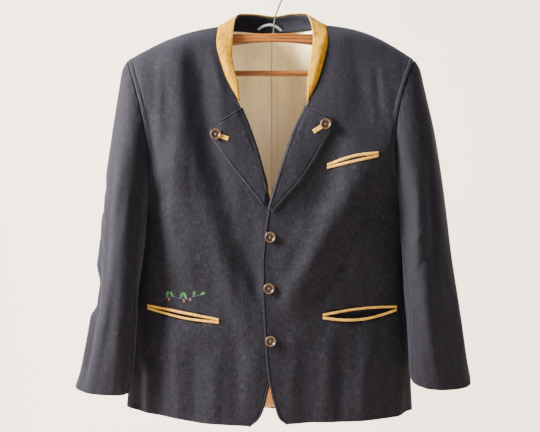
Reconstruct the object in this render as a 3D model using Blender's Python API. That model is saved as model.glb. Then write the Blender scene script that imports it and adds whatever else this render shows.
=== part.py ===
"""A Tyrolean jacket buttoned on a wooden hanger, built from the pieces that a tailor would cut.

All tables and sizes are in millimetres and become metres when a mesh is made.  X runs to the
wearer's left, -Y is the front, Z is up, and the origin is the inside of the hook's bend, where
the hanger bears on its rail.  "right" and "left" are the wearer's own sides.
"""
import math
from collections import namedtuple

import bmesh
import bpy
from mathutils import Vector
from mathutils.bvhtree import BVHTree

MM = 0.001

# Cloth and seams
CLOTH = 2.0             # shell cloth with its facing
SUEDE = 1.4             # collar, welts and lapel tabs
LINING = 1.0
SEAM = 0.2              # each piece stops this far from its seam line
CLEAR = 0.7             # a piece that lies on a panel starts this far above it
SIDE_SIGN = {"right": -1, "left": 1}

# Grids: cells along and across each piece
PANEL_COLUMNS = 12
PANEL_UPS = (0, .02, .045, .09, .15, .21, .28, .35, .42, .47, .52,
             .57, .63, .69, .75, .81, .86, .91, .955, 1)
UNDERARM = 0.52         # the share of a panel's height that lies below the armhole
NECK_START = 0.82       # where a front's edge leaves the roll line for the neck seam

# The free front edge, the roll line and then the neck seam, from hem (0) to shoulder (1)
EdgeRow = namedtuple("EdgeRow", "up x y z")
FRONT_EDGE = {
    "left": [
        EdgeRow(0.00, 24, -74, -842), EdgeRow(0.02, 10, -75, -831),
        EdgeRow(0.045, 3, -76, -812), EdgeRow(0.09, -4, -76, -787),
        EdgeRow(0.16, -12, -77, -745), EdgeRow(0.24, -17, -77, -682),
        EdgeRow(0.32, -21, -77, -612), EdgeRow(0.40, -22, -77, -542),
        EdgeRow(0.46, -17, -78, -486), EdgeRow(0.52, -11, -78, -445),
        EdgeRow(0.58, -2, -77, -415), EdgeRow(0.64, 11, -74, -375),
        EdgeRow(0.70, 26, -68, -331), EdgeRow(0.76, 42, -61, -286),
        EdgeRow(0.82, 66, -52, -240), EdgeRow(0.88, 91, -42, -184),
        EdgeRow(0.94, 107, -22, -113), EdgeRow(1.00, 105, 0, -83),
    ],
    "right": [
        EdgeRow(0.00, -43, -71, -847), EdgeRow(0.02, -27, -71, -833),
        EdgeRow(0.045, -17, -72, -812), EdgeRow(0.09, -10, -72, -784),
        EdgeRow(0.16, 0, -73, -742), EdgeRow(0.24, 6, -73, -682),
        EdgeRow(0.32, 9, -73, -612), EdgeRow(0.40, 10, -73, -542),
        EdgeRow(0.46, 8, -74, -486), EdgeRow(0.52, 2, -74, -448),
        EdgeRow(0.58, -8, -74, -415), EdgeRow(0.64, -19, -72, -373),
        EdgeRow(0.70, -31, -67, -329), EdgeRow(0.76, -46, -60, -286),
        EdgeRow(0.82, -66, -52, -240), EdgeRow(0.88, -94, -42, -185),
        EdgeRow(0.94, -111, -24, -120), EdgeRow(1.00, -109, 0, -86),
    ],
}

# The side seam, from hem to underarm
SideRow = namedtuple("SideRow", "up x z")
SIDE_SEAM_Y = 12
SIDE_SEAM = {
    "left": [
        SideRow(0.00, 272, -828), SideRow(0.09, 269, -785), SideRow(0.16, 268, -745),
        SideRow(0.24, 266, -690), SideRow(0.32, 262.5, -620), SideRow(0.40, 254.5, -545),
        SideRow(0.46, 243.2, -478), SideRow(0.52, 239, -405),
    ],
    "right": [
        SideRow(0.00, -287, -826), SideRow(0.09, -283, -785), SideRow(0.16, -280, -745),
        SideRow(0.24, -276, -690), SideRow(0.32, -270, -620), SideRow(0.40, -259, -545),
        SideRow(0.46, -244, -478), SideRow(0.52, -236, -405),
    ],
}

# The centre back seam, and how a panel swells between its edges: round is 1 for a full
# quarter of an oval and 0 for a flat run, corner below 1 squares the oval's corner, and
# swell_front and swell_back stand proud of it
BackRow = namedtuple("BackRow", "up y z")
CENTRE_BACK = [
    BackRow(0.00, 60, -841), BackRow(0.09, 59, -795), BackRow(0.24, 57, -690),
    BackRow(0.40, 56, -545), BackRow(0.52, 60, -415), BackRow(0.64, 65, -350),
    BackRow(0.76, 67, -260), BackRow(0.88, 66, -155), BackRow(1.00, 62, -86),
]
ShapeRow = namedtuple("ShapeRow", "up round corner swell_front swell_back")
BODY_SHAPE = [
    ShapeRow(0.00, 1.0, 1.2, 0, 0), ShapeRow(0.28, 1.0, 1.05, 0, 0),
    ShapeRow(0.40, 1.0, 0.75, 0, 0), ShapeRow(0.52, 0.95, 0.5, 0, 0),
    ShapeRow(0.64, 0.75, 0.5, 4, 1), ShapeRow(0.76, 0.5, 0.6, 8, 4),
    ShapeRow(0.88, 0.25, 0.7, 8, 6), ShapeRow(1.00, 0.0, 0.7, 0, 0),
]
SHOULDER_RISE = {"left": 15.5, "right": 12}     # the padded shoulder above its chord
BACK_NECK_SHARE = 0.38  # the neck's share of a back panel's top edge
BACK_NECK_DROP = 5      # the hump of the back neck seam above a level line
LINING_COLUMNS = 10     # the lining spans this many of the back panel's columns
LINING_GAP = 0.5
LINING_SHORT = 1.5      # the lining's top edge stops this far below the neck seam

# Hem below the straight line between its ends
HEM_SAG = {"left": -2, "right": 2}

# Sleeves: outer and inner line of the tube and its half depth, front to back.  The inner line
# comes forward over the body's side.  Row 0 is the armhole.
SleeveRow = namedtuple("SleeveRow", "down outer_x outer_y outer_z inner_x inner_y inner_z depth")
SLEEVE = {
    "left": [
        SleeveRow(0.00, 274, 4, -151, 239, 4, -405, 64),
        SleeveRow(0.04, 285, 4, -168, 241, 2, -418, 68),
        SleeveRow(0.10, 294, 3, -205, 242.5, -3, -440, 71),
        SleeveRow(0.25, 311, -2, -290, 244.5, -20, -490, 66),
        SleeveRow(0.40, 325, -9, -385, 247, -36, -540, 58),
        SleeveRow(0.55, 338, -15, -490, 250, -44, -600, 51),
        SleeveRow(0.70, 353, -20, -600, 254, -48, -655, 45),
        SleeveRow(0.85, 368, -24, -700, 257, -49, -715, 39),
        SleeveRow(0.95, 375, -24, -745, 258, -46, -745, 37),
        SleeveRow(1.00, 378, -26, -763, 262, -46, -757, 34),
    ],
    "right": [
        SleeveRow(0.00, -284, 4, -153, -236, 4, -405, 64),
        SleeveRow(0.04, -294, 4, -172, -239, 2, -418, 68),
        SleeveRow(0.10, -301, 3, -215, -241.5, -3, -440, 71),
        SleeveRow(0.25, -315, -2, -315, -245, -20, -490, 66),
        SleeveRow(0.40, -326, -9, -405, -250, -36, -535, 58),
        SleeveRow(0.55, -335, -15, -520, -257, -44, -595, 51),
        SleeveRow(0.70, -346, -20, -620, -260, -48, -650, 45),
        SleeveRow(0.85, -360, -24, -701, -263, -49, -715, 39),
        SleeveRow(0.95, -372, -24, -757, -268, -46, -765, 37),
        SleeveRow(1.00, -378, -26, -779, -271, -46, -785, 34),
    ],
}
ARMHOLE_HOLLOW = {"left": (23, 12), "right": (14, 10)}      # front and back, towards the body
HOLLOW_FADES_BY = 0.25
SLEEVE_DOWNS = (0, .04, .1, .17, .25, .33, .41, .49, .57, .65, .73, .8, .87, .94, 1)
UNDER_SLEEVE = (154, 290)       # degrees round the tube: 0 outer, 90 front, 180 inner, 270 back
CUFF_DROP = {"left": 22, "right": 9}            # how far the cuff's front hangs lower
CUFF_LIFT = 0.3                                 # its back rises by this share of that
ARMHOLE_GAP = 0.5

# Folds: soft troughs (height below 0) and ridges, each along a line in X and Z
Fold = namedtuple("Fold", "piece x1 z1 x2 z2 half_width height")
FOLDS = [
    Fold("front_right", -194, -110, -166, -340, 24, 6.5),
    Fold("front_right", -148, -130, -120, -340, 22, -6),
    Fold("front_right", -175, -300, -96, -550, 24, 6),
    Fold("front_right", -130, -300, -58, -530, 22, -6),
    Fold("front_right", -112, -500, -46, -680, 20, 4.5),
    Fold("front_right", -70, -500, -10, -650, 17, -4.5),
    Fold("front_right", -232, -735, -238, -840, 12, 5),
    Fold("front_right", -256, -740, -262, -840, 10, -4),
    Fold("front_right", -205, -720, -208, -840, 14, -4),
    Fold("front_left", 226, -300, 120, -480, 26, 6),
    Fold("front_left", 140, -450, 16, -640, 24, 6.5),
    Fold("front_left", 150, -270, 46, -470, 26, -4.5),
    Fold("front_left", 224, -410, 60, -650, 20, -5.5),
    Fold("front_left", 190, -680, 150, -830, 22, 4),
    Fold("front_left", 222, -660, 205, -835, 20, -4),
    Fold("back_right", -60, -330, -95, -700, 30, -5),
    Fold("back_right", -150, -300, -185, -620, 28, 5),
    Fold("back_right", -215, -650, -230, -835, 18, -5),
    Fold("back_left", 70, -300, 120, -660, 30, -5),
    Fold("back_left", 160, -340, 190, -700, 28, 5),
    Fold("back_left", 215, -640, 225, -835, 18, -4),
]
FOLD_SPLIT = 112        # no fold lies near this angle behind the outer line
SleeveFold = namedtuple("SleeveFold", "side angle1 down1 angle2 down2 half_width height")
SLEEVE_FOLDS = [
    SleeveFold("right", 52, 0.20, 66, 0.62, 13, -5),
    SleeveFold("right", 96, 0.34, 74, 0.88, 14, 4),
    SleeveFold("right", 36, 0.55, 44, 0.98, 12, -4),
    SleeveFold("right", -60, 0.30, -72, 0.75, 14, -5),
    SleeveFold("left", 100, 0.12, 122, 0.50, 14, 4),
    SleeveFold("left", 62, 0.18, 84, 0.60, 13, -5),
    SleeveFold("left", 108, 0.55, 100, 0.96, 14, 4),
    SleeveFold("left", -56, 0.25, -70, 0.70, 14, -5),
]

# Collar: its free edge, from the right gorge (-1) round the back (0) to the left gorge (1)
CollarRow = namedtuple("CollarRow", "around x y z")
COLLAR_EDGE = [
    CollarRow(-1.00, -65, -53, -238), CollarRow(-0.87, -66, -49, -205),
    CollarRow(-0.75, -73, -45, -181), CollarRow(-0.60, -79, -36, -145),
    CollarRow(-0.47, -79, -22, -112), CollarRow(-0.36, -75, -3, -74),
    CollarRow(-0.24, -66, 27, -56), CollarRow(-0.12, -38, 49, -52), CollarRow(0.00, 0, 57, -55),
    CollarRow(0.12, 38, 49, -51), CollarRow(0.24, 64, 27, -55), CollarRow(0.36, 73, -3, -77),
    CollarRow(0.47, 77, -22, -110), CollarRow(0.60, 73, -35, -143),
    CollarRow(0.75, 67, -44, -182), CollarRow(0.87, 64, -49, -209), CollarRow(1.00, 64, -53, -238),
]
NECK_POINT = 0.36       # the shoulder seam's place round the collar
COLLAR_CELLS = 36
COLLAR_END = 0.965      # the collar stops here, short of the gorge
COLLAR_FOOT = 1.4       # the collar's foot above the neck seam
FACING_FOOT = 0.3       # the facing starts this share of the first strip higher
FACING_GAP = 0.8

# Lapels: the roll line and the free edge, from the gorge (0) to the break (1)
LapelRow = namedtuple("LapelRow", "down roll_x roll_z edge_x edge_z")
LAPEL = {
    "left": [
        LapelRow(0.00, 62, -249, 108, -269), LapelRow(0.08, 57, -260, 113, -279),
        LapelRow(0.18, 50, -273, 110, -293), LapelRow(0.35, 41, -292, 98, -315),
        LapelRow(0.50, 31, -319, 81, -345), LapelRow(0.70, 18, -358, 51, -391),
        LapelRow(0.87, 5, -398, 22, -423), LapelRow(1.00, -7, -440, -2, -450),
    ],
    "right": [
        LapelRow(0.00, -61, -251, -115, -286), LapelRow(0.08, -57, -262, -121, -296),
        LapelRow(0.18, -50, -278, -117, -309), LapelRow(0.35, -41, -303, -103, -328),
        LapelRow(0.50, -32, -330, -85, -353), LapelRow(0.70, -21, -369, -58, -387),
        LapelRow(0.87, -13, -405, -34, -417), LapelRow(1.00, -16, -430, -23, -433),
    ],
}
LAPEL_CELLS = (5, 12)
LAPEL_PUFF = 2.5        # the lapel's lift along its soft roll

# Welted pockets: the mouth's ends, how far each welt bows away from the chord, welt widths
Pocket = namedtuple("Pocket", "name panel x1 z1 x2 z2 end_height bow_up bow_down upper lower")
POCKETS = [
    Pocket("chest_pocket", "front_left", 101, -362, 197, -340, 10, 6, 0.6, 6.8, 6.4),
    Pocket("hip_pocket_right", "front_right", -242, -629, -102, -653, 10, 2.5, 5.4, 7.8, 6.5),
    Pocket("hip_pocket_left", "front_left", 93, -644, 237, -632, 10.5, 5, 10.5, 5, 5.5),
]
WELT_CELLS = 18

# Buttons and the suede-bound buttonholes under the lapel buttons
BUTTON_RADIUS = 10.15
BUTTON_THICK = 4.6
SHANK_RADIUS = 2.6
FRONT_BUTTONS = [(-6, -495), (-8, -591), (-5, -689)]
LAPEL_BUTTONS = {"left": (98, -283), "right": (-108, -302)}
TAB_END = {"left": (75, -297.5), "right": (-84, -311)}
TAB_WIDTH = 8

# Hang loop inside the back of the neck
LOOP_PATH = [(-34, 54.4, -90), (-28, 52, -81), (-19, 50, -76), (-8, 49.5, -73.5),
             (2, 50, -75), (12, 52, -81), (21, 54.6, -90)]
LOOP_WIDTH = 4.5
LOOP_THICK = 1.0

# Hanger: the bow's upper and lower edge as (x, z) for one arm, mirrored
BOW_TOP = [(0, -101), (40, -101.5), (78, -102), (120, -104), (160, -107.5), (190, -113.7), (206, -121.6)]
BOW_END = [(214, -134), (217, -150), (214, -170), (206, -187)]
BOW_BOTTOM = [(197, -193), (188.3, -190), (188.3, -168), (176, -156), (150, -143),
              (115, -131), (78, -123), (40, -118), (0, -116)]
BOW_THICK = 13
BAR_RADIUS = 5.6
BAR_Z = -178
BAR_HALF = 188
HOOK_PATH = [(0, -101.5), (0.5, -92), (1.5, -80), (4, -66), (8.5, -54), (13.5, -42), (18, -30)]
HOOK_CENTRE = (0, -18.5)
HOOK_RADIUS = 20
HOOK_WIRE = 1.5
HOOK_TURN = (-30, 205)  # degrees of the hook's arc, from the shank's side over the top

COLOURS = {
    "charcoal_cloth": (0.042, 0.041, 0.050), "tan_suede": (0.62, 0.42, 0.17),
    "beige_lining": (0.58, 0.48, 0.33), "horn_button": (0.32, 0.21, 0.10),
    "beech_wood": (0.55, 0.29, 0.11), "steel_wire": (0.45, 0.45, 0.45), "grey_tape": (0.5, 0.5, 0.5),
}
ROUGHNESS = {
    "charcoal_cloth": 0.85, "tan_suede": 0.9, "beige_lining": 0.5, "horn_button": 0.35,
    "beech_wood": 0.35, "steel_wire": 0.3, "grey_tape": 0.8,
}


def clear_scene():
    for thing in list(bpy.data.objects):
        bpy.data.objects.remove(thing, do_unlink=True)


def material(name):
    found = bpy.data.materials.get(name)
    if found:
        return found
    made = bpy.data.materials.new(name)
    made.use_nodes = True
    shader = made.node_tree.nodes["Principled BSDF"]
    shader.inputs["Base Color"].default_value = (*COLOURS[name], 1)
    shader.inputs["Roughness"].default_value = ROUGHNESS[name]
    shader.inputs["Metallic"].default_value = 1.0 if name == "steel_wire" else 0.0
    return made


def table(rows, column, at):
    """Smooth value of one column at a value of the table's first column."""
    keys = [row[0] for row in rows]
    values = [getattr(row, column) for row in rows]
    slopes = [(values[i + 1] - values[i]) / (keys[i + 1] - keys[i]) for i in range(len(rows) - 1)]
    tangents = [slopes[0]]
    for before, after in zip(slopes, slopes[1:]):
        steady = before * after > 0
        tangents.append(2 * before * after / (before + after) if steady else 0)
    tangents.append(slopes[-1])
    at = min(max(at, keys[0]), keys[-1])
    i = max(k for k in range(len(rows) - 1) if keys[k] <= at)
    span = keys[i + 1] - keys[i]
    t = (at - keys[i]) / span
    rise = (1 + 2 * t) * (1 - t) ** 2 * values[i] + t * t * (3 - 2 * t) * values[i + 1]
    return rise + span * (t * (1 - t) ** 2 * tangents[i] - t * t * (1 - t) * tangents[i + 1])


def mix(a, b, share):
    return a + (b - a) * share


def smooth_step(low, high, at):
    t = min(max((at - low) / (high - low), 0), 1)
    return t * t * (3 - 2 * t)


# ---------------------------------------------------------------- closed walls from grids

def outward_normals(grid, inside):
    """Unit normals at a grid's points, pointing away from inside(point)."""
    last_row, last_column = len(grid) - 1, len(grid[0]) - 1
    normals = []
    for i, line in enumerate(grid):
        out = []
        for j, point in enumerate(line):
            along = grid[min(i + 1, last_row)][j] - grid[max(i - 1, 0)][j]
            across = line[min(j + 1, last_column)] - line[max(j - 1, 0)]
            normal = across.cross(along).normalized()
            facing = normal.dot(point - inside(point))
            out.append(normal if facing > 0 else -normal)
        normals.append(out)
    return normals


def moved(grid, directions, distance):
    return [[p + d * distance for p, d in zip(line, ways)] for line, ways in zip(grid, directions)]


def object_from(bm, name, finish, sharp=40):
    bmesh.ops.recalc_face_normals(bm, faces=bm.faces)
    mesh = bpy.data.meshes.new(name)
    bm.to_mesh(mesh)
    bm.free()
    mesh.shade_smooth()
    mesh.set_sharp_from_angle(angle=math.radians(sharp))
    mesh.materials.append(material(finish))
    made = bpy.data.objects.new(name, mesh)
    bpy.context.scene.collection.objects.link(made)
    return made


def wall(name, outer, inner, finish):
    """A closed sheet between two grids of the same size."""
    bm = bmesh.new()
    face_a = [[bm.verts.new(p * MM) for p in line] for line in outer]
    face_b = [[bm.verts.new(p * MM) for p in line] for line in inner]
    rows, columns = len(outer), len(outer[0])
    for side in (face_a, face_b):
        for i in range(rows - 1):
            for j in range(columns - 1):
                bm.faces.new((side[i][j], side[i][j + 1], side[i + 1][j + 1]))
                bm.faces.new((side[i][j], side[i + 1][j + 1], side[i + 1][j]))
    rim = [(0, j) for j in range(columns - 1)] + [(i, columns - 1) for i in range(rows - 1)]
    rim += [(rows - 1, j) for j in range(columns - 1, 0, -1)] + [(i, 0) for i in range(rows - 1, 0, -1)]
    for (i, j), (k, m) in zip(rim, rim[1:] + rim[:1]):
        bm.faces.new((face_a[i][j], face_b[i][j], face_b[k][m], face_a[k][m]))
    return object_from(bm, name, finish)


def open_seams(grid, bottom=0, top=0, first=0, last=0):
    """Pulls a grid's edges back from the seam lines by the given distances."""
    pulled = [[p.copy() for p in line] for line in grid]
    for i, line in enumerate(grid):
        pulled[i][0] += (line[1] - line[0]).normalized() * first
        pulled[i][-1] += (line[-2] - line[-1]).normalized() * last
    for j in range(len(grid[0])):
        pulled[0][j] += (grid[1][j] - grid[0][j]).normalized() * bottom
        pulled[-1][j] += (grid[-2][j] - grid[-1][j]).normalized() * top
    return pulled


# ---------------------------------------------------------------- folds

def along_line(x, z, x1, z1, x2, z2):
    """Share along a line and distance from it."""
    dx, dz = x2 - x1, z2 - z1
    length = math.hypot(dx, dz)
    share = ((x - x1) * dx + (z - z1) * dz) / length ** 2
    off = ((x - x1) * dz - (z - z1) * dx) / length
    return share, off


def fold_height(share, off, half_width, height):
    ends = smooth_step(-0.15, 0.25, share) * smooth_step(1.15, 0.75, share)
    return height * ends * math.exp(-(off / half_width) ** 2)


def body_folds(piece, point):
    total = 0
    for fold in FOLDS:
        if fold.piece == piece:
            share, off = along_line(point.x, point.z, fold.x1, fold.z1, fold.x2, fold.z2)
            total += fold_height(share, off, fold.half_width, fold.height)
    return total


def sleeve_folds(side, down, angle):
    """Fold height on a sleeve; an angle counts as 1 and the length as 5 per hundredth."""
    angle = (angle + FOLD_SPLIT) % 360 - FOLD_SPLIT
    total = 0
    for fold in SLEEVE_FOLDS:
        if fold.side == side:
            share, off = along_line(angle, down * 500, fold.angle1, fold.down1 * 500,
                                    fold.angle2, fold.down2 * 500)
            total += fold_height(share, off, fold.half_width, fold.height)
    return total


# ---------------------------------------------------------------- sleeves and armholes

def sleeve_ring(side, down):
    """Middle, half width vector and half depth of the sleeve at a share of its length."""
    rows = SLEEVE[side]
    outer = Vector([table(rows, f"outer_{axis}", down) for axis in "xyz"])
    inner = Vector([table(rows, f"inner_{axis}", down) for axis in "xyz"])
    return (outer + inner) / 2, (outer - inner) / 2, table(rows, "depth", down)


def sleeve_point(side, down, angle):
    middle, half, depth = sleeve_ring(side, down)
    turn = math.radians(angle)
    cos, sin = math.cos(turn), math.sin(turn)
    hollow = ARMHOLE_HOLLOW[side][0 if sin > 0 else 1] * smooth_step(HOLLOW_FADES_BY, 0, down)
    drop = CUFF_DROP[side] * (sin if sin > 0 else CUFF_LIFT * sin) * smooth_step(0.7, 1, down)
    shift = Vector((-SIDE_SIGN[side] * hollow * sin * sin, -depth * sin, -drop))
    return middle + half * cos + shift


def ring_inward(side, angle):
    """Direction in the armhole's own plane, at right angles to its seam, towards its middle."""
    _, half, depth = sleeve_ring(side, 0)
    turn = math.radians(angle)
    way = half.normalized() * math.cos(turn) / half.length
    way += Vector((0, -1, 0)) * math.sin(turn) / depth
    return -way.normalized()


def mitred(inward, side, angle):
    """Turns a wall's thickness into the armhole's plane at the top of the armhole."""
    share = (1 + math.cos(math.radians(angle))) / 2
    return (inward * (1 - share) + ring_inward(side, angle) * share).normalized()


def sleeve_grid(side, angles):
    """Outer points of a sleeve piece with its folds, and normals that its neighbour shares."""
    step = angles[1] - angles[0]
    wide = [angles[0] - step] + angles + [angles[-1] + step]
    grid, normals = [], []
    for down in SLEEVE_DOWNS:
        middle, _, _ = sleeve_ring(side, down)
        line = []
        for angle in wide:
            point = sleeve_point(side, down, angle)
            raised = sleeve_folds(side, down, angle) * smooth_step(0, 0.1, down)
            line.append(point + (point - middle).normalized() * raised)
        grid.append(line)
    middles = {tuple(p): sleeve_ring(side, down)[0]
               for down, line in zip(SLEEVE_DOWNS, grid) for p in line}
    normals = outward_normals(grid, lambda p: middles[tuple(p)])
    return [line[1:-1] for line in grid], [line[1:-1] for line in normals]


def build_sleeve(side):
    low, high = UNDER_SLEEVE
    spans = {"under": (low, high, 8), "upper": (high - 360, low, 13)}
    for part, (start, end, cells) in spans.items():
        angles = [mix(start, end, k / cells) for k in range(cells + 1)]
        grid, normals = sleeve_grid(side, angles)
        grid = open_seams(grid, first=SEAM, last=SEAM)
        middle, half, _ = sleeve_ring(side, 0)
        away = half.cross(Vector((0, 1, 0))).normalized()
        away *= SIDE_SIGN[side] * (1 if away.x > 0 else -1)
        grid[0] = [p + away * ARMHOLE_GAP for p in grid[0]]
        inward = [[-n for n in line] for line in normals]
        inward[0] = [mitred(n, side, a) for n, a in zip(inward[0], angles)]
        wall(f"sleeve_{side}_{part}", grid, moved(grid, inward, CLOTH), "charcoal_cloth")


# ---------------------------------------------------------------- fronts and back

def armhole_angle(up):
    """The armhole's angle at a height above the underarm: 180 below the arm, 0 at the shoulder."""
    return 180 * (1 - (up - UNDERARM) / (1 - UNDERARM))


def side_point(side, up, behind=False):
    if up <= UNDERARM:
        rows = SIDE_SEAM[side]
        level = table(rows, "z", up)
        settle = smooth_step(UNDERARM, UNDERARM - 0.1, up)
        y = mix(SLEEVE[side][0].inner_y, SIDE_SEAM_Y, settle)
        return Vector((table(rows, "x", up), y, level))
    angle = armhole_angle(up)
    return sleeve_point(side, 0, -angle if behind else angle)


def front_edge(side, up):
    rows = FRONT_EDGE[side]
    return Vector((table(rows, "x", up), table(rows, "y", up), table(rows, "z", up)))


def shoulder_seam(side, share):
    neck, tip = front_edge(side, 1), sleeve_point(side, 0, 0)
    rise = SHOULDER_RISE[side] * math.sin(math.pi * share)
    return neck.lerp(tip, share) + Vector((0, 0, rise))


def back_neck(side, share):
    """The neck seam from the centre back (0) to the shoulder seam (1)."""
    neck = front_edge(side, 1)
    turn = share * math.pi / 2
    centre_y, centre_z = CENTRE_BACK[-1].y, CENTRE_BACK[-1].z
    rise = BACK_NECK_DROP * math.sin(2 * turn)
    return Vector((neck.x * math.sin(turn), mix(centre_y, neck.y, 1 - math.cos(turn)),
                   mix(centre_z, neck.z, share) + rise))


def swept_row(start, end, across, up):
    """A point across a panel: a quarter oval, a flat run or between the two."""
    turn = across * math.pi / 2
    roundness = table(BODY_SHAPE, "round", up)
    x_share = mix(across, math.sin(turn), roundness)
    y_share = mix(across, 1 - max(math.cos(turn), 0) ** table(BODY_SHAPE, "corner", up), roundness)
    return Vector((mix(start.x, end.x, x_share), mix(start.y, end.y, y_share),
                   mix(start.z, end.z, x_share)))


def front_point(side, across, up):
    start, end = front_edge(side, up), side_point(side, up)
    point = swept_row(start, end, across, up)
    bump = math.sin(math.pi * across)
    point.y -= table(BODY_SHAPE, "swell_front", up) * bump
    point.z += SHOULDER_RISE[side] * bump * smooth_step(0.76, 1, up)
    point.z -= HEM_SAG[side] * bump * smooth_step(0.1, 0, up)
    return point


def back_point(side, across, up):
    centre = Vector((0, table(CENTRE_BACK, "y", up), table(CENTRE_BACK, "z", up)))
    point = swept_row(centre, side_point(side, up, behind=True), across, up)
    point.y += table(BODY_SHAPE, "swell_back", up) * math.sin(math.pi * across)
    if across <= BACK_NECK_SHARE:
        edge = back_neck(side, across / BACK_NECK_SHARE)
    else:
        edge = shoulder_seam(side, (across - BACK_NECK_SHARE) / (1 - BACK_NECK_SHARE))
    plain = swept_row(back_neck(side, 0), sleeve_point(side, 0, 0), across, 1)
    return point + (edge - plain) * smooth_step(0.74, 1, up)


def body_axis(point):
    """The middle of the garment at a point's own height, sunk below the shoulders."""
    return Vector((point.x * 0.5, 0, point.z - 40 * smooth_step(-260, -100, point.z)))


def panel_grid(piece, make_point, side):
    """Outer points of a panel with its folds, and its outward normals."""
    acrosses = [k / PANEL_COLUMNS for k in range(PANEL_COLUMNS + 1)]
    grid = [[make_point(side, a, up) for a in acrosses] for up in PANEL_UPS]
    normals = outward_normals(grid, body_axis)
    for i, up in enumerate(PANEL_UPS):
        for j, across in enumerate(acrosses):
            free = smooth_step(0, 0.12, across) * smooth_step(1, 0.88, across)
            free *= smooth_step(1, 0.9, up)
            grid[i][j] = grid[i][j] + normals[i][j] * body_folds(piece, grid[i][j]) * free
    return grid, outward_normals(grid, body_axis)


def panel_inward(side, normals, behind):
    """Thickness directions of a panel, shared with its neighbours along the seams."""
    inward = [[-n for n in line] for line in normals]
    for j in range(PANEL_COLUMNS + 1):
        if not behind or j / PANEL_COLUMNS > BACK_NECK_SHARE:
            inward[-1][j] = Vector((0, 0, -1))
    for i, up in enumerate(PANEL_UPS):
        if up <= UNDERARM:
            inward[i][-1] = Vector((-SIDE_SIGN[side], 0, 0))
        else:
            angle = armhole_angle(up)
            inward[i][-1] = mitred(inward[i][-1], side, -angle if behind else angle)
        if behind:
            inward[i][0] = Vector((0, inward[i][0].y, inward[i][0].z)).normalized()
    return inward


def build_front(side):
    name = f"front_{side}"
    grid, normals = panel_grid(name, front_point, side)
    outer = open_seams(grid, top=SEAM, last=SEAM)
    wall(name, outer, moved(outer, panel_inward(side, normals, False), CLOTH), "charcoal_cloth")
    return outer


def build_back(side):
    """A back panel and the lining that hangs inside it, both from one grid."""
    name = f"back_{side}"
    grid, normals = panel_grid(name, back_point, side)
    outer = open_seams(grid, top=SEAM, first=SEAM, last=SEAM)
    inward = panel_inward(side, normals, True)
    wall(name, outer, moved(outer, inward, CLOTH), "charcoal_cloth")
    kept = [line[:LINING_COLUMNS + 1] for line in moved(outer, inward, CLOTH + LINING_GAP)[1:]]
    inward = [line[:LINING_COLUMNS + 1] for line in inward[1:]]
    face = open_seams(kept, top=LINING_SHORT)
    wall(f"lining_back_{side}", face, moved(face, inward, LINING), "beige_lining")


# ---------------------------------------------------------------- collar

def neck_seam(around):
    side = "right" if around < 0 else "left"
    reach = abs(around)
    if reach <= NECK_POINT:
        return back_neck(side, reach / NECK_POINT)
    share = (reach - NECK_POINT) / (1 - NECK_POINT)
    return front_edge(side, mix(1, NECK_START, share))


def collar_edge(around):
    return Vector([table(COLLAR_EDGE, axis, around) for axis in "xyz"])


def build_collar():
    """The outer suede band and the cloth facing inside it, both from seam to free edge."""
    heights = (0, 0.3, 0.62, 1)
    arounds = [mix(-COLLAR_END, COLLAR_END, k / COLLAR_CELLS) for k in range(COLLAR_CELLS + 1)]
    grid = []
    for around in arounds:
        foot, edge = neck_seam(around), collar_edge(around)
        start = min(COLLAR_FOOT / (edge - foot).length, 0.4)
        line = [foot.lerp(edge, mix(start, 1, h)) for h in heights]
        spread = Vector((foot.x, foot.y, 0)).normalized()
        crown = 3 * min((edge - foot).length / 30, 1)
        grid.append([p + spread * crown * math.sin(math.pi * h) for p, h in zip(line, heights)])
    normals = outward_normals(grid, lambda p: Vector((p.x * 0.3, p.y * 0.3, p.z - 60)))
    suede_inner = moved(grid, normals, -SUEDE)
    wall("collar_suede", grid, suede_inner, "tan_suede")
    facing_outer = moved(grid, normals, -SUEDE - FACING_GAP)
    facing_outer = [[mix(line[0], line[1], FACING_FOOT)] + line[1:] for line in facing_outer]
    wall("collar_facing", facing_outer, moved(facing_outer, normals, -SUEDE), "charcoal_cloth")


# ---------------------------------------------------------------- pieces that lie on a panel

def surface_of(grid):
    """A lookup of the outer face of a grid's wall."""
    columns = len(grid[0])
    points = [p for line in grid for p in line]
    faces = []
    for i in range(len(grid) - 1):
        for j in range(columns - 1):
            a = i * columns + j
            faces.append((a, a + 1, a + columns + 1))
            faces.append((a, a + columns + 1, a + columns))
    return BVHTree.FromPolygons(points, faces)


def seat(surface, x, z, lift):
    """The point of a surface straight behind (x, z), lifted towards the front."""
    start = Vector((x, -400, z))
    place, _, _, _ = surface.ray_cast(start, Vector((0, 1, 0)))
    if place is None:
        place, _, _, _ = surface.find_nearest(Vector((x, -70, z)))
        place = Vector((x, place.y, z))
    return place + Vector((0, -lift, 0))


def build_lapel(side, surface):
    cells_across, cells_down = LAPEL_CELLS
    under, over = [], []
    for k in range(cells_down + 1):
        down = k / cells_down
        roll = [table(LAPEL[side], c, down) for c in ("roll_x", "roll_z")]
        edge = [table(LAPEL[side], c, down) for c in ("edge_x", "edge_z")]
        low, high = [], []
        for m in range(cells_across + 1):
            share = m / cells_across
            x, z = mix(roll[0], edge[0], share), mix(roll[1], edge[1], share)
            lift = CLEAR + LAPEL_PUFF * math.sin(math.pi * share) * (1 - down * 0.6)
            low.append(seat(surface, x, z, lift))
            high.append(seat(surface, x, z, lift + CLOTH))
        under.append(low)
        over.append(high)
    wall(f"lapel_{side}", over, under, "charcoal_cloth")
    return over


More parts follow.
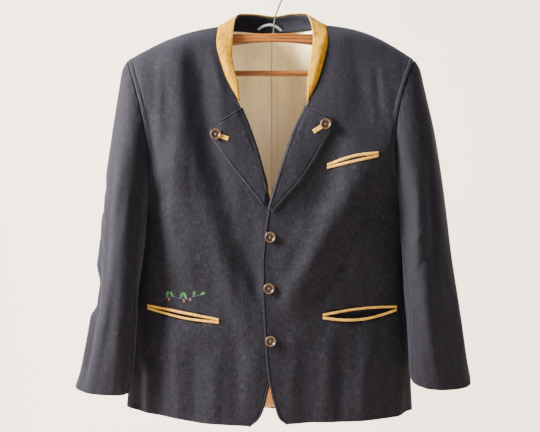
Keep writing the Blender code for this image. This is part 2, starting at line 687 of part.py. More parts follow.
def build_welts(pocket, surface):
    """Two suede strips round a pocket's mouth, each bowed away from the other."""
    lines = {"upper": [], "lower": []}
    for k in range(WELT_CELLS + 1):
        share = k / WELT_CELLS
        x, z = mix(pocket.x1, pocket.x2, share), mix(pocket.z1, pocket.z2, share)
        arc = math.sin(math.pi * share)
        top = z + pocket.end_height / 2 + pocket.bow_up * arc
        bottom = z - pocket.end_height / 2 - pocket.bow_down * arc
        meet = z + (pocket.bow_up - pocket.bow_down) * arc / 4
        lines["upper"].append((x, top, max(top - pocket.upper, meet + SEAM)))
        lines["lower"].append((x, min(bottom + pocket.lower, meet - SEAM), bottom))
    for welt, rows in lines.items():
        over = [[seat(surface, x, z, CLEAR + SUEDE) for z in edges] for x, *edges in rows]
        under = [[seat(surface, x, z, CLEAR) for z in edges] for x, *edges in rows]
        wall(f"{pocket.name}_{welt}_welt", over, under, "tan_suede")


def turned_button(name, place, facing, shank):
    """A dished horn button: rim, recess and raised eye, on a short shank."""
    profile = [(0, 2.9), (2.6, 2.6), (3.8, 1.9), (6.0, 2.3), (7.9, 3.9), (9.0, BUTTON_THICK),
               (BUTTON_RADIUS, 3.0), (BUTTON_RADIUS - 0.5, 1.2),
               (SHANK_RADIUS, 0), (SHANK_RADIUS, -shank), (0, -shank)]
    bm = bmesh.new()
    verts = [bm.verts.new(Vector((r, 0, h)) * MM) for r, h in profile]
    for a, b in zip(verts, verts[1:]):
        bm.edges.new((a, b))
    bmesh.ops.spin(bm, geom=bm.verts[:] + bm.edges[:], cent=(0, 0, 0), axis=(0, 0, 1),
                   angle=math.tau, steps=18, use_merge=True)
    bmesh.ops.remove_doubles(bm, verts=bm.verts, dist=1e-6)
    turn = Vector((0, 0, 1)).rotation_difference(facing)
    bmesh.ops.rotate(bm, verts=bm.verts, cent=(0, 0, 0), matrix=turn.to_matrix())
    bmesh.ops.translate(bm, verts=bm.verts, vec=place * MM)
    return object_from(bm, name, "horn_button", 50)


def build_front_buttons(surface):
    for number, (x, z) in enumerate(FRONT_BUTTONS, 1):
        place = seat(surface, x, z, CLEAR + 1.2)
        turned_button(f"front_button_{number}", place, Vector((0, -1, 0)), 1.0)


def build_lapel_button(side, lapel_over):
    """The bound buttonhole's suede tab and the button at its head."""
    surface = surface_of(lapel_over)
    x, z = LAPEL_BUTTONS[side]
    end = Vector((*TAB_END[side],))
    start = Vector((x, z))
    way = (end - start).normalized()
    start += way * (SHANK_RADIUS + 1.5)
    beside = Vector((-way.y, way.x)) * TAB_WIDTH / 2
    over, under = [], []
    for k in range(5):
        middle = start.lerp(end, k / 4)
        ends = (middle - beside, middle, middle + beside)
        over.append([seat(surface, p.x, p.y, CLEAR + SUEDE) for p in ends])
        under.append([seat(surface, p.x, p.y, CLEAR) for p in ends])
    wall(f"lapel_tab_{side}", over, under, "tan_suede")
    place = seat(surface, x, z, CLEAR + SUEDE + 0.9)
    turned_button(f"lapel_button_{side}", place, Vector((0, -1, 0.05)).normalized(), SUEDE + 0.5)


# ---------------------------------------------------------------- hang loop and hanger

def ribbon(name, path, width, thick, finish):
    """A flat tape along a path, its width lying along the collar's height."""
    over, under = [], []
    for k, (x, y, z) in enumerate(path):
        before, after = path[max(k - 1, 0)], path[min(k + 1, len(path) - 1)]
        way = Vector((after[0] - before[0], 0, after[2] - before[2])).normalized()
        wide = Vector((-way.z, 0, way.x)) * width / 2
        point = Vector((x, y, z))
        over.append([point - wide, point + wide])
        under.append([p + Vector((0, thick, 0)) for p in over[-1]])
    wall(name, over, under, finish)


def build_bow():
    """The hanger's wooden bow: one outline, mirrored, given its thickness and rounded edges."""
    arm = BOW_TOP + BOW_END + BOW_BOTTOM
    outline = arm + [(-x, z) for x, z in reversed(arm[1:-1])]
    bm = bmesh.new()
    face = bm.faces.new([bm.verts.new(Vector((x, -BOW_THICK / 2, z)) * MM) for x, z in outline])
    grown = bmesh.ops.extrude_face_region(bm, geom=[face])
    moved_verts = [v for v in grown["geom"] if isinstance(v, bmesh.types.BMVert)]
    bmesh.ops.translate(bm, verts=moved_verts, vec=(0, BOW_THICK * MM, 0))
    rims = [e for e in bm.edges if abs(e.verts[0].co.y - e.verts[1].co.y) < 1e-6]
    bmesh.ops.bevel(bm, geom=rims, offset=2.5 * MM, offset_type="OFFSET", segments=2, profile=0.5,
                    affect="EDGES", material=-1)
    object_from(bm, "hanger_bow", "beech_wood")


def build_bar():
    bm = bmesh.new()
    bmesh.ops.create_cone(bm, cap_ends=True, segments=16, radius1=BAR_RADIUS * MM,
                          radius2=BAR_RADIUS * MM, depth=2 * BAR_HALF * MM)
    turn = Vector((0, 0, 1)).rotation_difference(Vector((1, 0, 0)))
    bmesh.ops.rotate(bm, verts=bm.verts, cent=(0, 0, 0), matrix=turn.to_matrix())
    bmesh.ops.translate(bm, verts=bm.verts, vec=(0, 0, BAR_Z * MM))
    object_from(bm, "hanger_bar", "beech_wood")


def build_hook():
    """Bent wire: up from the bow, out to one side and over the rail."""
    points = [Vector((x, 0, z)) for x, z in HOOK_PATH]
    points[0].z = BOW_TOP[0][1] + 0.3
    first, last = HOOK_TURN
    steps = 20
    for k in range(steps + 1):
        turn = math.radians(mix(first, last, k / steps))
        points.append(Vector((HOOK_CENTRE[0] + HOOK_RADIUS * math.cos(turn), 0,
                              HOOK_CENTRE[1] + HOOK_RADIUS * math.sin(turn))))
    curve = bpy.data.curves.new("hanger_hook", "CURVE")
    curve.dimensions = "3D"
    curve.bevel_depth = HOOK_WIRE * MM
    curve.bevel_resolution = 2
    curve.use_fill_caps = True
    spline = curve.splines.new("POLY")
    spline.points.add(len(points) - 1)
    for slot, point in zip(spline.points, points):
        slot.co = (*(point * MM), 1)
    curve.materials.append(material("steel_wire"))
    hook = bpy.data.objects.new("hanger_hook", curve)
    bpy.context.scene.collection.objects.link(hook)


def main():
    clear_scene()
    surfaces = {}
    for side in SIDE_SIGN:
        build_sleeve(side)
        build_back(side)
        surfaces[f"front_{side}"] = surface_of(build_front(side))
        lapel_over = build_lapel(side, surfaces[f"front_{side}"])
        build_lapel_button(side, lapel_over)
    build_collar()
    for pocket in POCKETS:
        build_welts(pocket, surfaces[pocket.panel])
    build_front_buttons(surfaces["front_left"])
    ribbon("hang_loop", LOOP_PATH, LOOP_WIDTH, LOOP_THICK, "grey_tape")
    build_bow()
    build_bar()
    build_hook()


main()
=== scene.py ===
"""Dresses the Tyrolean jacket and its hanger: fine cloth, suede, horn, thread, wood and a stage.

All tables and sizes are in millimetres and become metres when a mesh is made.  X runs to the
wearer's left, -Y is the front, Z is up, and the origin is the inside of the hook's bend.
"right" and "left" are the wearer's own sides.
"""

import bisect
import functools
import math
from collections import namedtuple

import bmesh
import bpy
from mathutils import Euler, Matrix, Vector, noise
from mathutils.bvhtree import BVHTree


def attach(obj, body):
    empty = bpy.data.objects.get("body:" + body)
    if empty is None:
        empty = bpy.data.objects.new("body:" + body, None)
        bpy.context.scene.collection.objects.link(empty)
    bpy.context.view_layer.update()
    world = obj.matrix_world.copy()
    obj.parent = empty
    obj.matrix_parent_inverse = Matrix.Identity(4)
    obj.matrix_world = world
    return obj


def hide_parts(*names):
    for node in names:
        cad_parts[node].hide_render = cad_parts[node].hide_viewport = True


bl_info = {
    "name": "Tyrolean jacket on a hanger",
    "version": (1, 0, 0),
    "blender": (4, 5, 0),
    "location": "3D View > Sidebar > Jacket",
    "description": "Builds the cloth, suede, buttons, stitching and stage of a jacket on a hanger",
    "category": "Object",
}

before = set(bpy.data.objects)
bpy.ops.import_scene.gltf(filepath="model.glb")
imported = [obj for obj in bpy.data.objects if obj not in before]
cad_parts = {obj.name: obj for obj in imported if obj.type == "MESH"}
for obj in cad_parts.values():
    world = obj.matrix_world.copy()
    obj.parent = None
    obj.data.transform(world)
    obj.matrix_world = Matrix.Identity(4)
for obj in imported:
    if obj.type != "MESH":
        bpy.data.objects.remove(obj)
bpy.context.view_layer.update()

MM = 0.001

# Cloth and seams
CLOTH = 2.0  # shell cloth with its facing
SUEDE = 1.4  # collar, welts and lapel tabs
LINING = 1.0  # satin inside the back
SEAM = 0.2  # each piece stops this far from its seam line
CLEAR = 0.7  # a piece that lies on a panel starts this far above it
SIDE_SIGN = {"right": -1, "left": 1}

UNDERARM = 0.52  # the share of a panel's height that lies below the armhole
NECK_START = 0.82  # where a front's edge leaves the roll line for the neck seam


def rows_of(kind, *numbers):
    """Rows of one kind, made from their numbers in reading order."""
    width = len(kind._fields)
    return tuple(kind(*numbers[k:k + width]) for k in range(0, len(numbers), width))


# The free front edge, the roll line and then the neck seam, from hem (0) to shoulder (1)
EdgeRow = namedtuple("EdgeRow", "up x y z")
FRONT_EDGE = {
    "left": rows_of(EdgeRow,
        0.00, 24, -74, -842,  0.02, 10, -75, -831,  0.045, 3, -76, -812,  0.09, -4, -76, -787,
        0.16, -12, -77, -745,  0.24, -17, -77, -682,  0.32, -21, -77, -612,  0.40, -22, -77, -542,
        0.46, -17, -78, -486,  0.52, -11, -78, -445,  0.58, -2, -77, -415,  0.64, 11, -74, -375,
        0.70, 26, -68, -331,  0.76, 42, -61, -286,  0.82, 66, -52, -240,  0.88, 91, -42, -184,
        0.94, 107, -22, -113,  1.00, 105, 0, -83),
    "right": rows_of(EdgeRow,
        0.00, -43, -71, -847,  0.02, -27, -71, -833,  0.045, -17, -72, -812,  0.09, -10, -72, -784,
        0.16, 0, -73, -742,  0.24, 6, -73, -682,  0.32, 9, -73, -612,  0.40, 10, -73, -542,
        0.46, 8, -74, -486,  0.52, 2, -74, -448,  0.58, -8, -74, -415,  0.64, -19, -72, -373,
        0.70, -31, -67, -329,  0.76, -46, -60, -286,  0.82, -66, -52, -240,  0.88, -94, -42, -185,
        0.94, -111, -24, -120,  1.00, -109, 0, -86),
}

# The side seam, from hem to underarm
SideRow = namedtuple("SideRow", "up x z")
SIDE_SEAM_Y = 12
SIDE_SEAM = {
    "left": rows_of(SideRow,
        0.00, 272, -828,  0.09, 269, -785,  0.16, 268, -745,  0.24, 266, -690,  0.32, 262.5, -620,
        0.40, 254.5, -545,  0.46, 243.2, -478,  0.52, 239, -405),
    "right": rows_of(SideRow,
        0.00, -287, -826,  0.09, -283, -785,  0.16, -280, -745,  0.24, -276, -690,
        0.32, -270, -620,  0.40, -259, -545,  0.46, -244, -478,  0.52, -236, -405),
}

# The centre back seam, and how a panel swells between its edges: round is 1 for a full
# quarter of an oval and 0 for a flat run, corner below 1 squares the oval's corner, and
# swell_front and swell_back stand proud of it
BackRow = namedtuple("BackRow", "up y z")
CENTRE_BACK = rows_of(BackRow,
    0.00, 60, -841,  0.09, 59, -795,  0.24, 57, -690,  0.40, 56, -545,  0.52, 60, -415,
    0.64, 65, -350,  0.76, 67, -260,  0.88, 66, -155,  1.00, 62, -86)
ShapeRow = namedtuple("ShapeRow", "up round corner swell_front swell_back")
BODY_SHAPE = rows_of(ShapeRow,
    0.00, 1.0, 1.2, 0, 0,  0.28, 1.0, 1.05, 0, 0,  0.40, 1.0, 0.75, 0, 0,  0.52, 0.95, 0.5, 0, 0,
    0.64, 0.75, 0.5, 4, 1,  0.76, 0.5, 0.6, 8, 4,  0.88, 0.25, 0.7, 8, 6,  1.00, 0.0, 0.7, 0, 0)
SHOULDER_RISE = {"left": 15.5, "right": 12}  # the padded shoulder above its chord
BACK_NECK_SHARE = 0.38  # the neck's share of a back panel's top edge
BACK_NECK_DROP = 5  # the hump of the back neck seam above a level line
LINING_SHARE = 10 / 12  # the lining spans this share of the back panel
LINING_GAP = 0.5  # between the cloth and its lining

# Hem below the straight line between its ends
HEM_SAG = {"left": -2, "right": 2}

# Sleeves: outer and inner line of the tube and its half depth, front to back.  The inner line
# comes forward over the body's side.  Row 0 is the armhole.
SleeveRow = namedtuple("SleeveRow", "down outer_x outer_y outer_z inner_x inner_y inner_z depth")
SLEEVE = {
    "left": rows_of(SleeveRow,
        0.00, 274, 4, -151, 239, 4, -405, 64,  0.04, 285, 4, -168, 241, 2, -418, 68,
        0.10, 294, 3, -205, 242.5, -3, -440, 71,  0.25, 311, -2, -290, 244.5, -20, -490, 66,
        0.40, 325, -9, -385, 247, -36, -540, 58,  0.55, 338, -15, -490, 250, -44, -600, 51,
        0.70, 353, -20, -600, 254, -48, -655, 45,  0.85, 368, -24, -700, 257, -49, -715, 39,
        0.95, 375, -24, -745, 258, -46, -745, 37,  1.00, 378, -26, -763, 262, -46, -757, 34),
    "right": rows_of(SleeveRow,
        0.00, -284, 4, -153, -236, 4, -405, 64,  0.04, -294, 4, -172, -239, 2, -418, 68,
        0.10, -301, 3, -215, -241.5, -3, -440, 71,  0.25, -315, -2, -315, -245, -20, -490, 66,
        0.40, -326, -9, -405, -250, -36, -535, 58,  0.55, -335, -15, -520, -257, -44, -595, 51,
        0.70, -346, -20, -620, -260, -48, -650, 45,  0.85, -360, -24, -701, -263, -49, -715, 39,
        0.95, -372, -24, -757, -268, -46, -765, 37,  1.00, -378, -26, -779, -271, -46, -785, 34),
}
ARMHOLE_HOLLOW = {"left": (23, 12), "right": (14, 10)}  # front and back, towards the body
HOLLOW_FADES_BY = 0.25  # share of the sleeve's length
UNDER_SLEEVE = (154, 290)  # degrees round the tube: 0 outer, 90 front, 180 inner, 270 back
CUFF_DROP = {"left": 22, "right": 9}  # how far the cuff's front hangs lower
CUFF_LIFT = 0.3  # its back rises by this share of that
ARMHOLE_GAP = 0.5  # between a sleeve's head and the panels

# Folds: soft troughs (height below 0) and ridges, each along a line in X and Z.  Each panel's
# first rows are the main folds, and the rest are the creases that only the looks add.
Fold = namedtuple("Fold", "x1 z1 x2 z2 half_width height")
FOLDS = {
    "front_right": rows_of(Fold,
        -194, -110, -166, -340, 24, 6.5,  -148, -130, -120, -340, 22, -6,
        -175, -300, -96, -550, 24, 6,  -130, -300, -58, -530, 22, -6,
        -112, -500, -46, -680, 20, 4.5,  -70, -500, -10, -650, 17, -4.5,
        -232, -735, -238, -840, 12, 5,  -256, -740, -262, -840, 10, -4,
        -196, -280, -172, -470, 20, 4,
        -165, -330, -112, -540, 16, -3,  -182, -330, -150, -560, 46, 9,
        -178, -650, -178, -850, 62, 6,  -44, -440, -18, -620, 20, -5,
        -214, -150, -212, -330, 12, 2.5,
        -110, -120, -92, -220, 14, 3.5,  -236, -250, -226, -360, 8, -2,
        -206, -420, -150, -600, 16, 3,  -228, -430, -190, -620, 14, -3,
        -60, -560, -20, -650, 10, 2.5,  -234, -735, -236, -850, 9, 2.5,
        -212, -725, -212, -850, 9, -3,  -184, -660, -176, -850, 11, 3,
        -150, -690, -148, -850, 12, -2.5,  -112, -720, -108, -850, 14, 3,
        -70, -690, -66, -850, 16, -3,  -30, -700, -34, -800, 12, 2),
    "front_left": rows_of(Fold,
        226, -300, 120, -480, 26, 6,  140, -450, 16, -640, 24, 6.5,  150, -270, 46, -470, 26, -4.5,
        224, -410, 60, -650, 20, -5.5,  190, -680, 150, -830, 22, 4,  222, -660, 205, -835, 20, -4,
        192, -90, 180, -290, 50, -10,  150, -380, 22, -612, 22, 7.5,  202, -330, 98, -560, 50, 6.5,
        214, -330, 96, -540, 20, -3.5,  205, -440, 85, -640, 18, 3,  205, -640, 205, -850, 70, 6,
        60, -470, 10, -560, 16, 3,  214, -420, 150, -530, 12, 2.5,  207, -165, 214, -260, 7, 1.3,
        196, -175, 205, -275, 7, -1.2,  222, -200, 220, -290, 6, 1.0,  184, -190, 192, -285, 7, 1.0,
        190, -470, 210, -600, 18, 2.5,  110, -560, 60, -640, 16, 3,  104, -670, 96, -840, 14, 3,
        128, -690, 126, -850, 12, -2.5,  60, -690, 62, -850, 16, -3,  218, -650, 214, -730, 8, 2.5,
        236, -700, 234, -800, 9, -3.5,  240, -780, 242, -850, 8, 2.5,  30, -740, 34, -850, 10, 2,
        168, -720, 166, -850, 10, 2.5),
    "back_right": rows_of(Fold,
        -60, -330, -95, -700, 30, -5,  -150, -300, -185, -620, 28, 5,
        -215, -650, -230, -835, 18, -5,  -110, -140, -150, -330, 24, -3.5,
        -205, -240, -215, -420, 12, -3,  -185, -230, -190, -430, 12, 3,
        -40, -480, -60, -800, 22, 3,  -140, -600, -150, -850, 18, -3,
        -18, -120, -60, -190, 10, -1.6),
    "back_left": rows_of(Fold,
        70, -300, 120, -660, 30, -5,  160, -340, 190, -700, 28, 5,  215, -640, 225, -835, 18, -4,
        105, -150, 140, -340, 24, -3.5,  204, -230, 214, -430, 12, -3,  182, -240, 188, -420, 12, 3,
        46, -500, 58, -820, 22, 3,  150, -620, 165, -850, 18, -3,  22, -115, 66, -185, 10, -1.6),
}
FOLD_ENDS = ((-0.15, 0.25), (1.15, 0.75))  # shares of its line by which a fold fades
FOLD_SPLIT = 112  # no fold lies near this angle behind the outer line
SLEEVE_UNROLLED = 500  # a sleeve's length counts as this many degrees
SleeveFold = namedtuple("SleeveFold", "angle1 down1 angle2 down2 half_width height")
SLEEVE_FOLDS = {
    "right": rows_of(SleeveFold,
        52, 0.20, 66, 0.62, 13, -5,  96, 0.34, 74, 0.88, 14, 4,  36, 0.55, 44, 0.98, 12, -4,
        -60, 0.30, -72, 0.75, 14, -5,  4, 0.36, -2, 0.46, 34, -6,  4, 0.60, -2, 0.73, 34, -11,
        68, 0.20, 62, 0.96, 13, 1.5,  92, 0.24, 86, 0.86, 10, -2,  112, 0.30, 106, 0.96, 14, 2,
        40, 0.05, 34, 0.40, 12, -1.5,  8, 0.40, 60, 0.47, 8, 2.2,  5, 0.50, 66, 0.56, 8, -2,
        10, 0.58, 58, 0.66, 9, 2,  12, 0.70, 70, 0.74, 8, -1.8,  18, 0.40, 22, 0.92, 12, 1.5,
        84, 0.78, 78, 1.02, 8, -1,  134, 0.18, 140, 0.55, 10, -3,  -30, 0.20, -36, 0.80, 14, -3.5,
        215, 0.30, 225, 0.90, 14, 3),
    "left": rows_of(SleeveFold,
        100, 0.12, 122, 0.50, 14, 4,  62, 0.18, 84, 0.60, 13, -5,  108, 0.55, 100, 0.96, 14, 4,
        -56, 0.25, -70, 0.70, 14, -5,  112, 0.10, 96, 0.97, 14, 1.5,  84, 0.06, 66, 0.60, 12, -1.5,
        138, 0.20, 132, 0.80, 12, -1.5,  46, 0.10, 40, 0.55, 14, 1.5,  60, 0.55, 50, 0.98, 13, -1.5,
        20, 0.45, 24, 0.95, 12, 1.5,  125, 0.16, 122, 0.95, 24, 3.5,  130, 0.38, 80, 0.43, 8, 1.8,
        128, 0.50, 70, 0.53, 8, -1.8,  126, 0.62, 84, 0.66, 8, 1.6,  -30, 0.18, -38, 0.82, 14, -3.5,
        212, 0.28, 222, 0.88, 14, 3),
}

# Collar: its free edge, from the right gorge (-1) round the back (0) to the left gorge (1)
CollarRow = namedtuple("CollarRow", "around x y z")
COLLAR_EDGE = rows_of(CollarRow,
    -1.00, -65, -53, -238,  -0.87, -66, -49, -205,  -0.75, -73, -45, -181,  -0.60, -79, -36, -145,
    -0.47, -79, -22, -112,  -0.36, -75, -3, -74,  -0.24, -66, 27, -56,  -0.12, -38, 49, -52,
    0.00, 0, 57, -55,  0.12, 38, 49, -51,  0.24, 64, 27, -55,  0.36, 73, -3, -77,
    0.47, 77, -22, -110,  0.60, 73, -35, -143,  0.75, 67, -44, -182,  0.87, 64, -49, -209,
    1.00, 64, -53, -238)
NECK_POINT = 0.36  # the shoulder seam's place round the collar
COLLAR_FOOT = 1.4  # the collar's foot above the neck seam
FACING_GAP = 0.8  # between the suede and its facing

# Lapels: the roll line and the free edge, from the gorge (0) to the break (1)
LapelRow = namedtuple("LapelRow", "down roll_x roll_z edge_x edge_z")
LAPEL = {
    "left": rows_of(LapelRow,
        0.00, 62, -249, 108, -269,  0.08, 57, -260, 113, -279,  0.18, 50, -273, 110, -293,
        0.35, 41, -292, 98, -315,  0.50, 31, -319, 81, -345,  0.70, 18, -358, 51, -391,
        0.87, 5, -398, 22, -423,  1.00, -7, -440, -2, -450),
    "right": rows_of(LapelRow,
        0.00, -61, -251, -115, -286,  0.08, -57, -262, -121, -296,  0.18, -50, -278, -117, -309,
        0.35, -41, -303, -103, -328,  0.50, -32, -330, -85, -353,  0.70, -21, -369, -58, -387,
        0.87, -13, -405, -34, -417,  1.00, -16, -430, -23, -433),
}

# Welted pockets: the mouth's ends, how far each welt bows away from the chord, welt widths
Pocket = namedtuple("Pocket", "name panel x1 z1 x2 z2 end_height bow_up bow_down upper lower")
POCKETS = [
    Pocket("chest_pocket", "front_left", 101, -362, 197, -340, 10, 6, 0.6, 6.8, 6.4),
    Pocket("hip_pocket_right", "front_right", -242, -629, -102, -653, 10, 2.5, 5.4, 7.8, 6.5),
    Pocket("hip_pocket_left", "front_left", 93, -644, 237, -632, 10.5, 5, 10.5, 5, 5.5),
]

# Buttons and the suede-bound buttonholes under the lapel buttons
BUTTON_RADIUS = 10.15
BUTTON_THICK = 4.6
SHANK_RADIUS = 2.6  # the neck of thread under a button
FRONT_BUTTONS = [(-6, -495), (-8, -591), (-5, -689)]
LAPEL_BUTTONS = {"left": (98, -283), "right": (-108, -302)}
TAB_END = {"left": (75, -297.5), "right": (-84, -311)}
TAB_WIDTH = 8

# Hang loop inside the back of the neck
LOOP_STEPS = 8  # cells between two of its points
LOOP_PATH = [(-34, 54.4, -90), (-28, 52, -81), (-19, 50, -76), (-8, 49.5, -73.5),
             (2, 50, -75), (12, 52, -81), (21, 54.6, -90)]
LOOP_WIDTH = 4.5
LOOP_THICK = 1.0

# Hung cloth
RIPPLE_SLOW = 3.2  # height of the slow waves
RIPPLES = ((RIPPLE_SLOW, 46, 170), (0.9, 15, 60))  # height, width and length of each kind
SEEDS = {"front_right": 3.1, "front_left": 8.7, "back_right": 14.2, "back_left": 21.9,
         "sleeve_right": 31.4, "sleeve_left": 40.6}
CALM_EDGES = ((0, 0.12), (1, 0.88))  # shares of a panel's width by which waves fade in and out
CALM_SHOULDER = (1, 0.9)  # and the share of its height
SIDE_EASE = 4.5  # the body's sides fill out towards the sleeves below the arm
SIDE_EASE_FROM = (0.2, 0.36)  # share of a panel's height
SIDE_EASE_TO = (UNDERARM, UNDERARM - 0.05)
HEM_DROPS = {  # how far the worn hem hangs lower, by X
    "front_left": ((0, 3.5), (70, 3.7), (122, 7.5), (182, 11), (236, 12), (258, 5)),
    "front_right": ((-215, 0), (-133, 5), (-50, 3), (-20, 4)),
    "back_left": ((150, 0), (262, 4)),
    "back_right": ((-262, 0), (-150, 0)),
}
HEM_DROP_FADES_BY = 0.12  # share of a panel's height

# Seams and stitched edges
SEAM_DIP = 1.3  # cloth sinks this far at a seam
SEAM_DIP_WIDTH = 1.9
EDGE_BAND = 5.2  # width of the stitched band along the free edges
BAND_HEIGHT = 0.65
BAND_RISE = 1.2  # the band takes this far to rise
BAND_GROOVE = 1.1  # depth and width of the groove along its stitches
BAND_GROOVE_WIDTH = 0.8
RIDGE_HEIGHT = 1.3  # the pressed allowance beside the armhole
RIDGE_BAND = ((0.8, 2.4), (9.4, 7.6))  # its two slopes, by distance from the seam
RIDGE_GROOVE = (9.6, 1.3)  # place and width of the groove of depth 1 beyond it
RIDGE_FADES = (-290, -215)  # between these levels
RIDGE_FADES_TOP = (3, 24)  # distance from the shoulder seam
TUCK_DEPTH = 2.4  # a seam allowance lies this far below its own surface
TUCK_REACH = 6  # and reaches this far under the neighbouring piece
TUCK_STEP = 0.3  # it turns down within this distance of the edge
FOLDED_BACK = -3  # the reach of an allowance that has no neighbour to go under
CENTRE_TUCK = 4  # the left lining reaches this far under the right one
CENTRE_TUCK_DEPTH = 1.3
CENTRE_LAP = 1.6  # and the right one this far past the centre
NECK_TUCK = 7  # a front's neck edge reaches this far under the collar
NECK_TUCK_GROWS = 330  # near the gorge the tuck is shorter, by this much a share of height
NECK_TUCK_DEPTH = 1.6

# Smoothing of the panels below the armhole and of the back below the neck point: passes, the
# rows they reach and the columns between which they work
UNDERARM_PASSES = 24
UNDERARM_REACH = 0.11
UNDERARM_ACROSS = ((0.35, 0.6), (1, 0.95))
NECK_PASSES = 70
NECK_ROWS = (0.78, 0.84)
NECK_ACROSS = ((0.1, 0.25), (0.75, 0.55))
NOT_WORTH = 0.01  # a smaller share of smoothing is left out

# Lining and facings
LINING_DRAPE = 1.6  # soft upright folds in the lining
LINING_FOLD = (26, 240)  # their width and length
LINING_SWELL = {"left": 7, "right": 0}  # it stands off the cloth towards the side
LINING_SWELL_FROM = (0, 110)  # distance from the centre
LINING_SWELL_BELOW = (-110, -190)  # between these levels
LINING_DROP = 5  # the lining's top edge hangs this far below the neck seam
LINING_LEAN = 0.6  # and this share of that further back
PLEAT_DEPTH = 2.0  # the lining's centre pleat
PLEAT_SHARE = {"left": 1, "right": -0.3}  # the left side sinks, the right one laps over it
PLEAT_FADES = (5.5, 0.5)  # distance from the centre
FACING_SHARE = 0.27  # the front facing's share of a front's width
CUFF_HEM = 0.94  # below this share of its length a sleeve is turned up inside
CUFF_SQUARE = 0.45  # the cuff's edge is squarer than a plain round
CAP_PUCKER = 0.5  # height of the fine puckers round the sleeve's head
CAP_PUCKERS = 26  # waves a radian

# Collar
COLLAR_ROWS = 12
COLLAR_COLUMNS = 190
COLLAR_TIP = 0.995  # the suede runs on almost to the gorge
COLLAR_CROWN = {"left": 6, "right": 4}  # the swell of its face in front
COLLAR_CROWN_BACK = 3
COLLAR_TALL = 30  # a lower collar swells less
COLLAR_SPLAY = 0.25  # in front its face turns outward by this much
COLLAR_WAVE = 1.1
COLLAR_LOW = 14  # where the collar is lower than this its rolled edges shrink
SUEDE_WALL = 0.9
COLLAR_FEET = ((3.6, 9), (1.2, 3.5))  # inward and down, from the seam
COLLAR_ROLL = ((0.5, 0.2), (0.8, 0.8), (0.5, 1.5), (-3.2, 1.8))  # up and inward, at the edge
FACING_FEET = ((2.4, 11), (0.9, 4))
FACING_DEEPER = 0.6  # it stands this much further in than its gap
FACING_SHORT = 5  # columns left out at each end of the facing

# Lapels
LAPEL_ROWS = 72
LAPEL_COLUMNS = 30
LAPEL_HEIGHT = 190  # from the gorge to the break, for the band along the top edge
LAPEL_TURN_IN = 26  # the part of the lapel's cloth that faces the front's inside
LAPEL_TURN_DEPTH = 5.0  # which lies this far behind the roll
LAPEL_LIFT = 1.2  # a lapel lies this far off the front, beyond its clearance
LAPEL_ROLLS = {"left": (5.0, 3.0), "right": (4.2, 2.4)}  # height of the roll, lift beside it
LAPEL_WAVE = 0.8
ROLL_TURNS = (180, 140, 100, 60, 30)  # degrees round the soft fold at the roll line
ROLL_RADIUS = 3.4
ROLL_DEPTH = 0.8  # its middle lies this far behind the front's face

# Pockets
WELT_FINE = (130, 9)  # cells along a welt and across it
WELT_WALL = 0.5
WELT_RIDGE = {"chest_pocket_lower": (0.34, 4.2), "hip_pocket_left_lower": (0.2, 3.6),  # height, pitch
              "hip_pocket_right_upper": (0.5, 5.2), "hip_pocket_right_lower": (0.4, 5.2)}
WELT_GRAIN = (0.1, 3.0)
WELT_SEAT = 0.4  # trims sink by this share of their clearance
WELT_WEAR = 0.35
WELT_ENDS = ((0, 0.012), (1, 0.988))  # shares by which a welt flattens at its ends
# Worn suede: each welt's mouth edge stands this far back, its outer edge is this much nearer
SLOT_EASE = {"chest_pocket": 0.5, "hip_pocket_left": 0.2, "hip_pocket_right": 0.7}
WELT_SLIM = {"chest_pocket": 0.7, "hip_pocket_left": 0.5, "hip_pocket_right": 1.7}
MOUTH_ENDS = ((0.03, 0.15), (0.97, 0.85))  # shares of the mouth by which it opens
MOUTH_UNDER = 1.4  # the pocketing reaches this far under each welt
MOUTH_DEPTH = 8.5
PIT_DEEPER = 2.5  # behind a gaping mouth the panel sinks further than the pocketing
PIT_GAPE = (1, 3.5)  # where the mouth is open between these
PIT_REACH = (5.5, 0.5)  # from this far outside its edge to this far
MOUTH_PUCKER = 2.2
POCKETING_WALL = 0.3

# Buttons, buttonholes and lapel tabs
BUTTON_FINE = [  # radius, height
    (0, 3.3), (0.9, 3.25), (1.7, 2.95), (2.4, 2.35), (2.9, 1.85), (3.6, 1.6), (5.2, 1.6), (6.1, 1.85),
    (6.9, 2.5), (7.5, 3.5), (8.0, 4.2), (8.6, BUTTON_THICK), (9.2, BUTTON_THICK), (9.8, 4.1),
    (10.1, 3.4), (BUTTON_RADIUS, 2.7), (10.0, 1.9), (9.4, 1.2), (7.5, 0.7), (4.0, 0.3), (2.7, 0)]
BUTTON_STEPS = 48
BOSS_RADIUS = 2.8  # the raised eye
BOSS_PIT = 0.5  # the depth of its four pits
PIT_FROM = 0.35  # a pit is dark where its wave is above this
BUTTON_BACK = 0.9  # below this height a button is dark
ROPE_FROM = 2  # and above this one its rim is roped
RING_RADIUS = 7.6  # the dark ring ends here and the rim begins
ROPE_TURNS = 26
ROPE_DEPTH = 0.16
BUTTONHOLE = (8.0, 14.5, 1.5)  # from the button's middle to its start and end, half its width
BUTTONHOLE_CELLS = (30, 8)
CORD = 0.6  # height of a buttonhole's corded edge
TAB_CELLS = (28, 14)

# Stitches
STITCH = 2.5  # length, pitch and radius of a running stitch
STITCH_PITCH = 3.5
STITCH_RADIUS = 0.24
STITCH_FROM = 0.4  # it starts this far into its pitch
STITCH_LIFT = Vector((0, -0.1, 0))
COLLAR_STITCHES = (3.6, 2.4)  # distance of the lines from the collar's edge and foot
SATIN_PITCH = 0.52
SATIN_RADIUS = 0.30
SATIN_SLANT = 35  # degrees

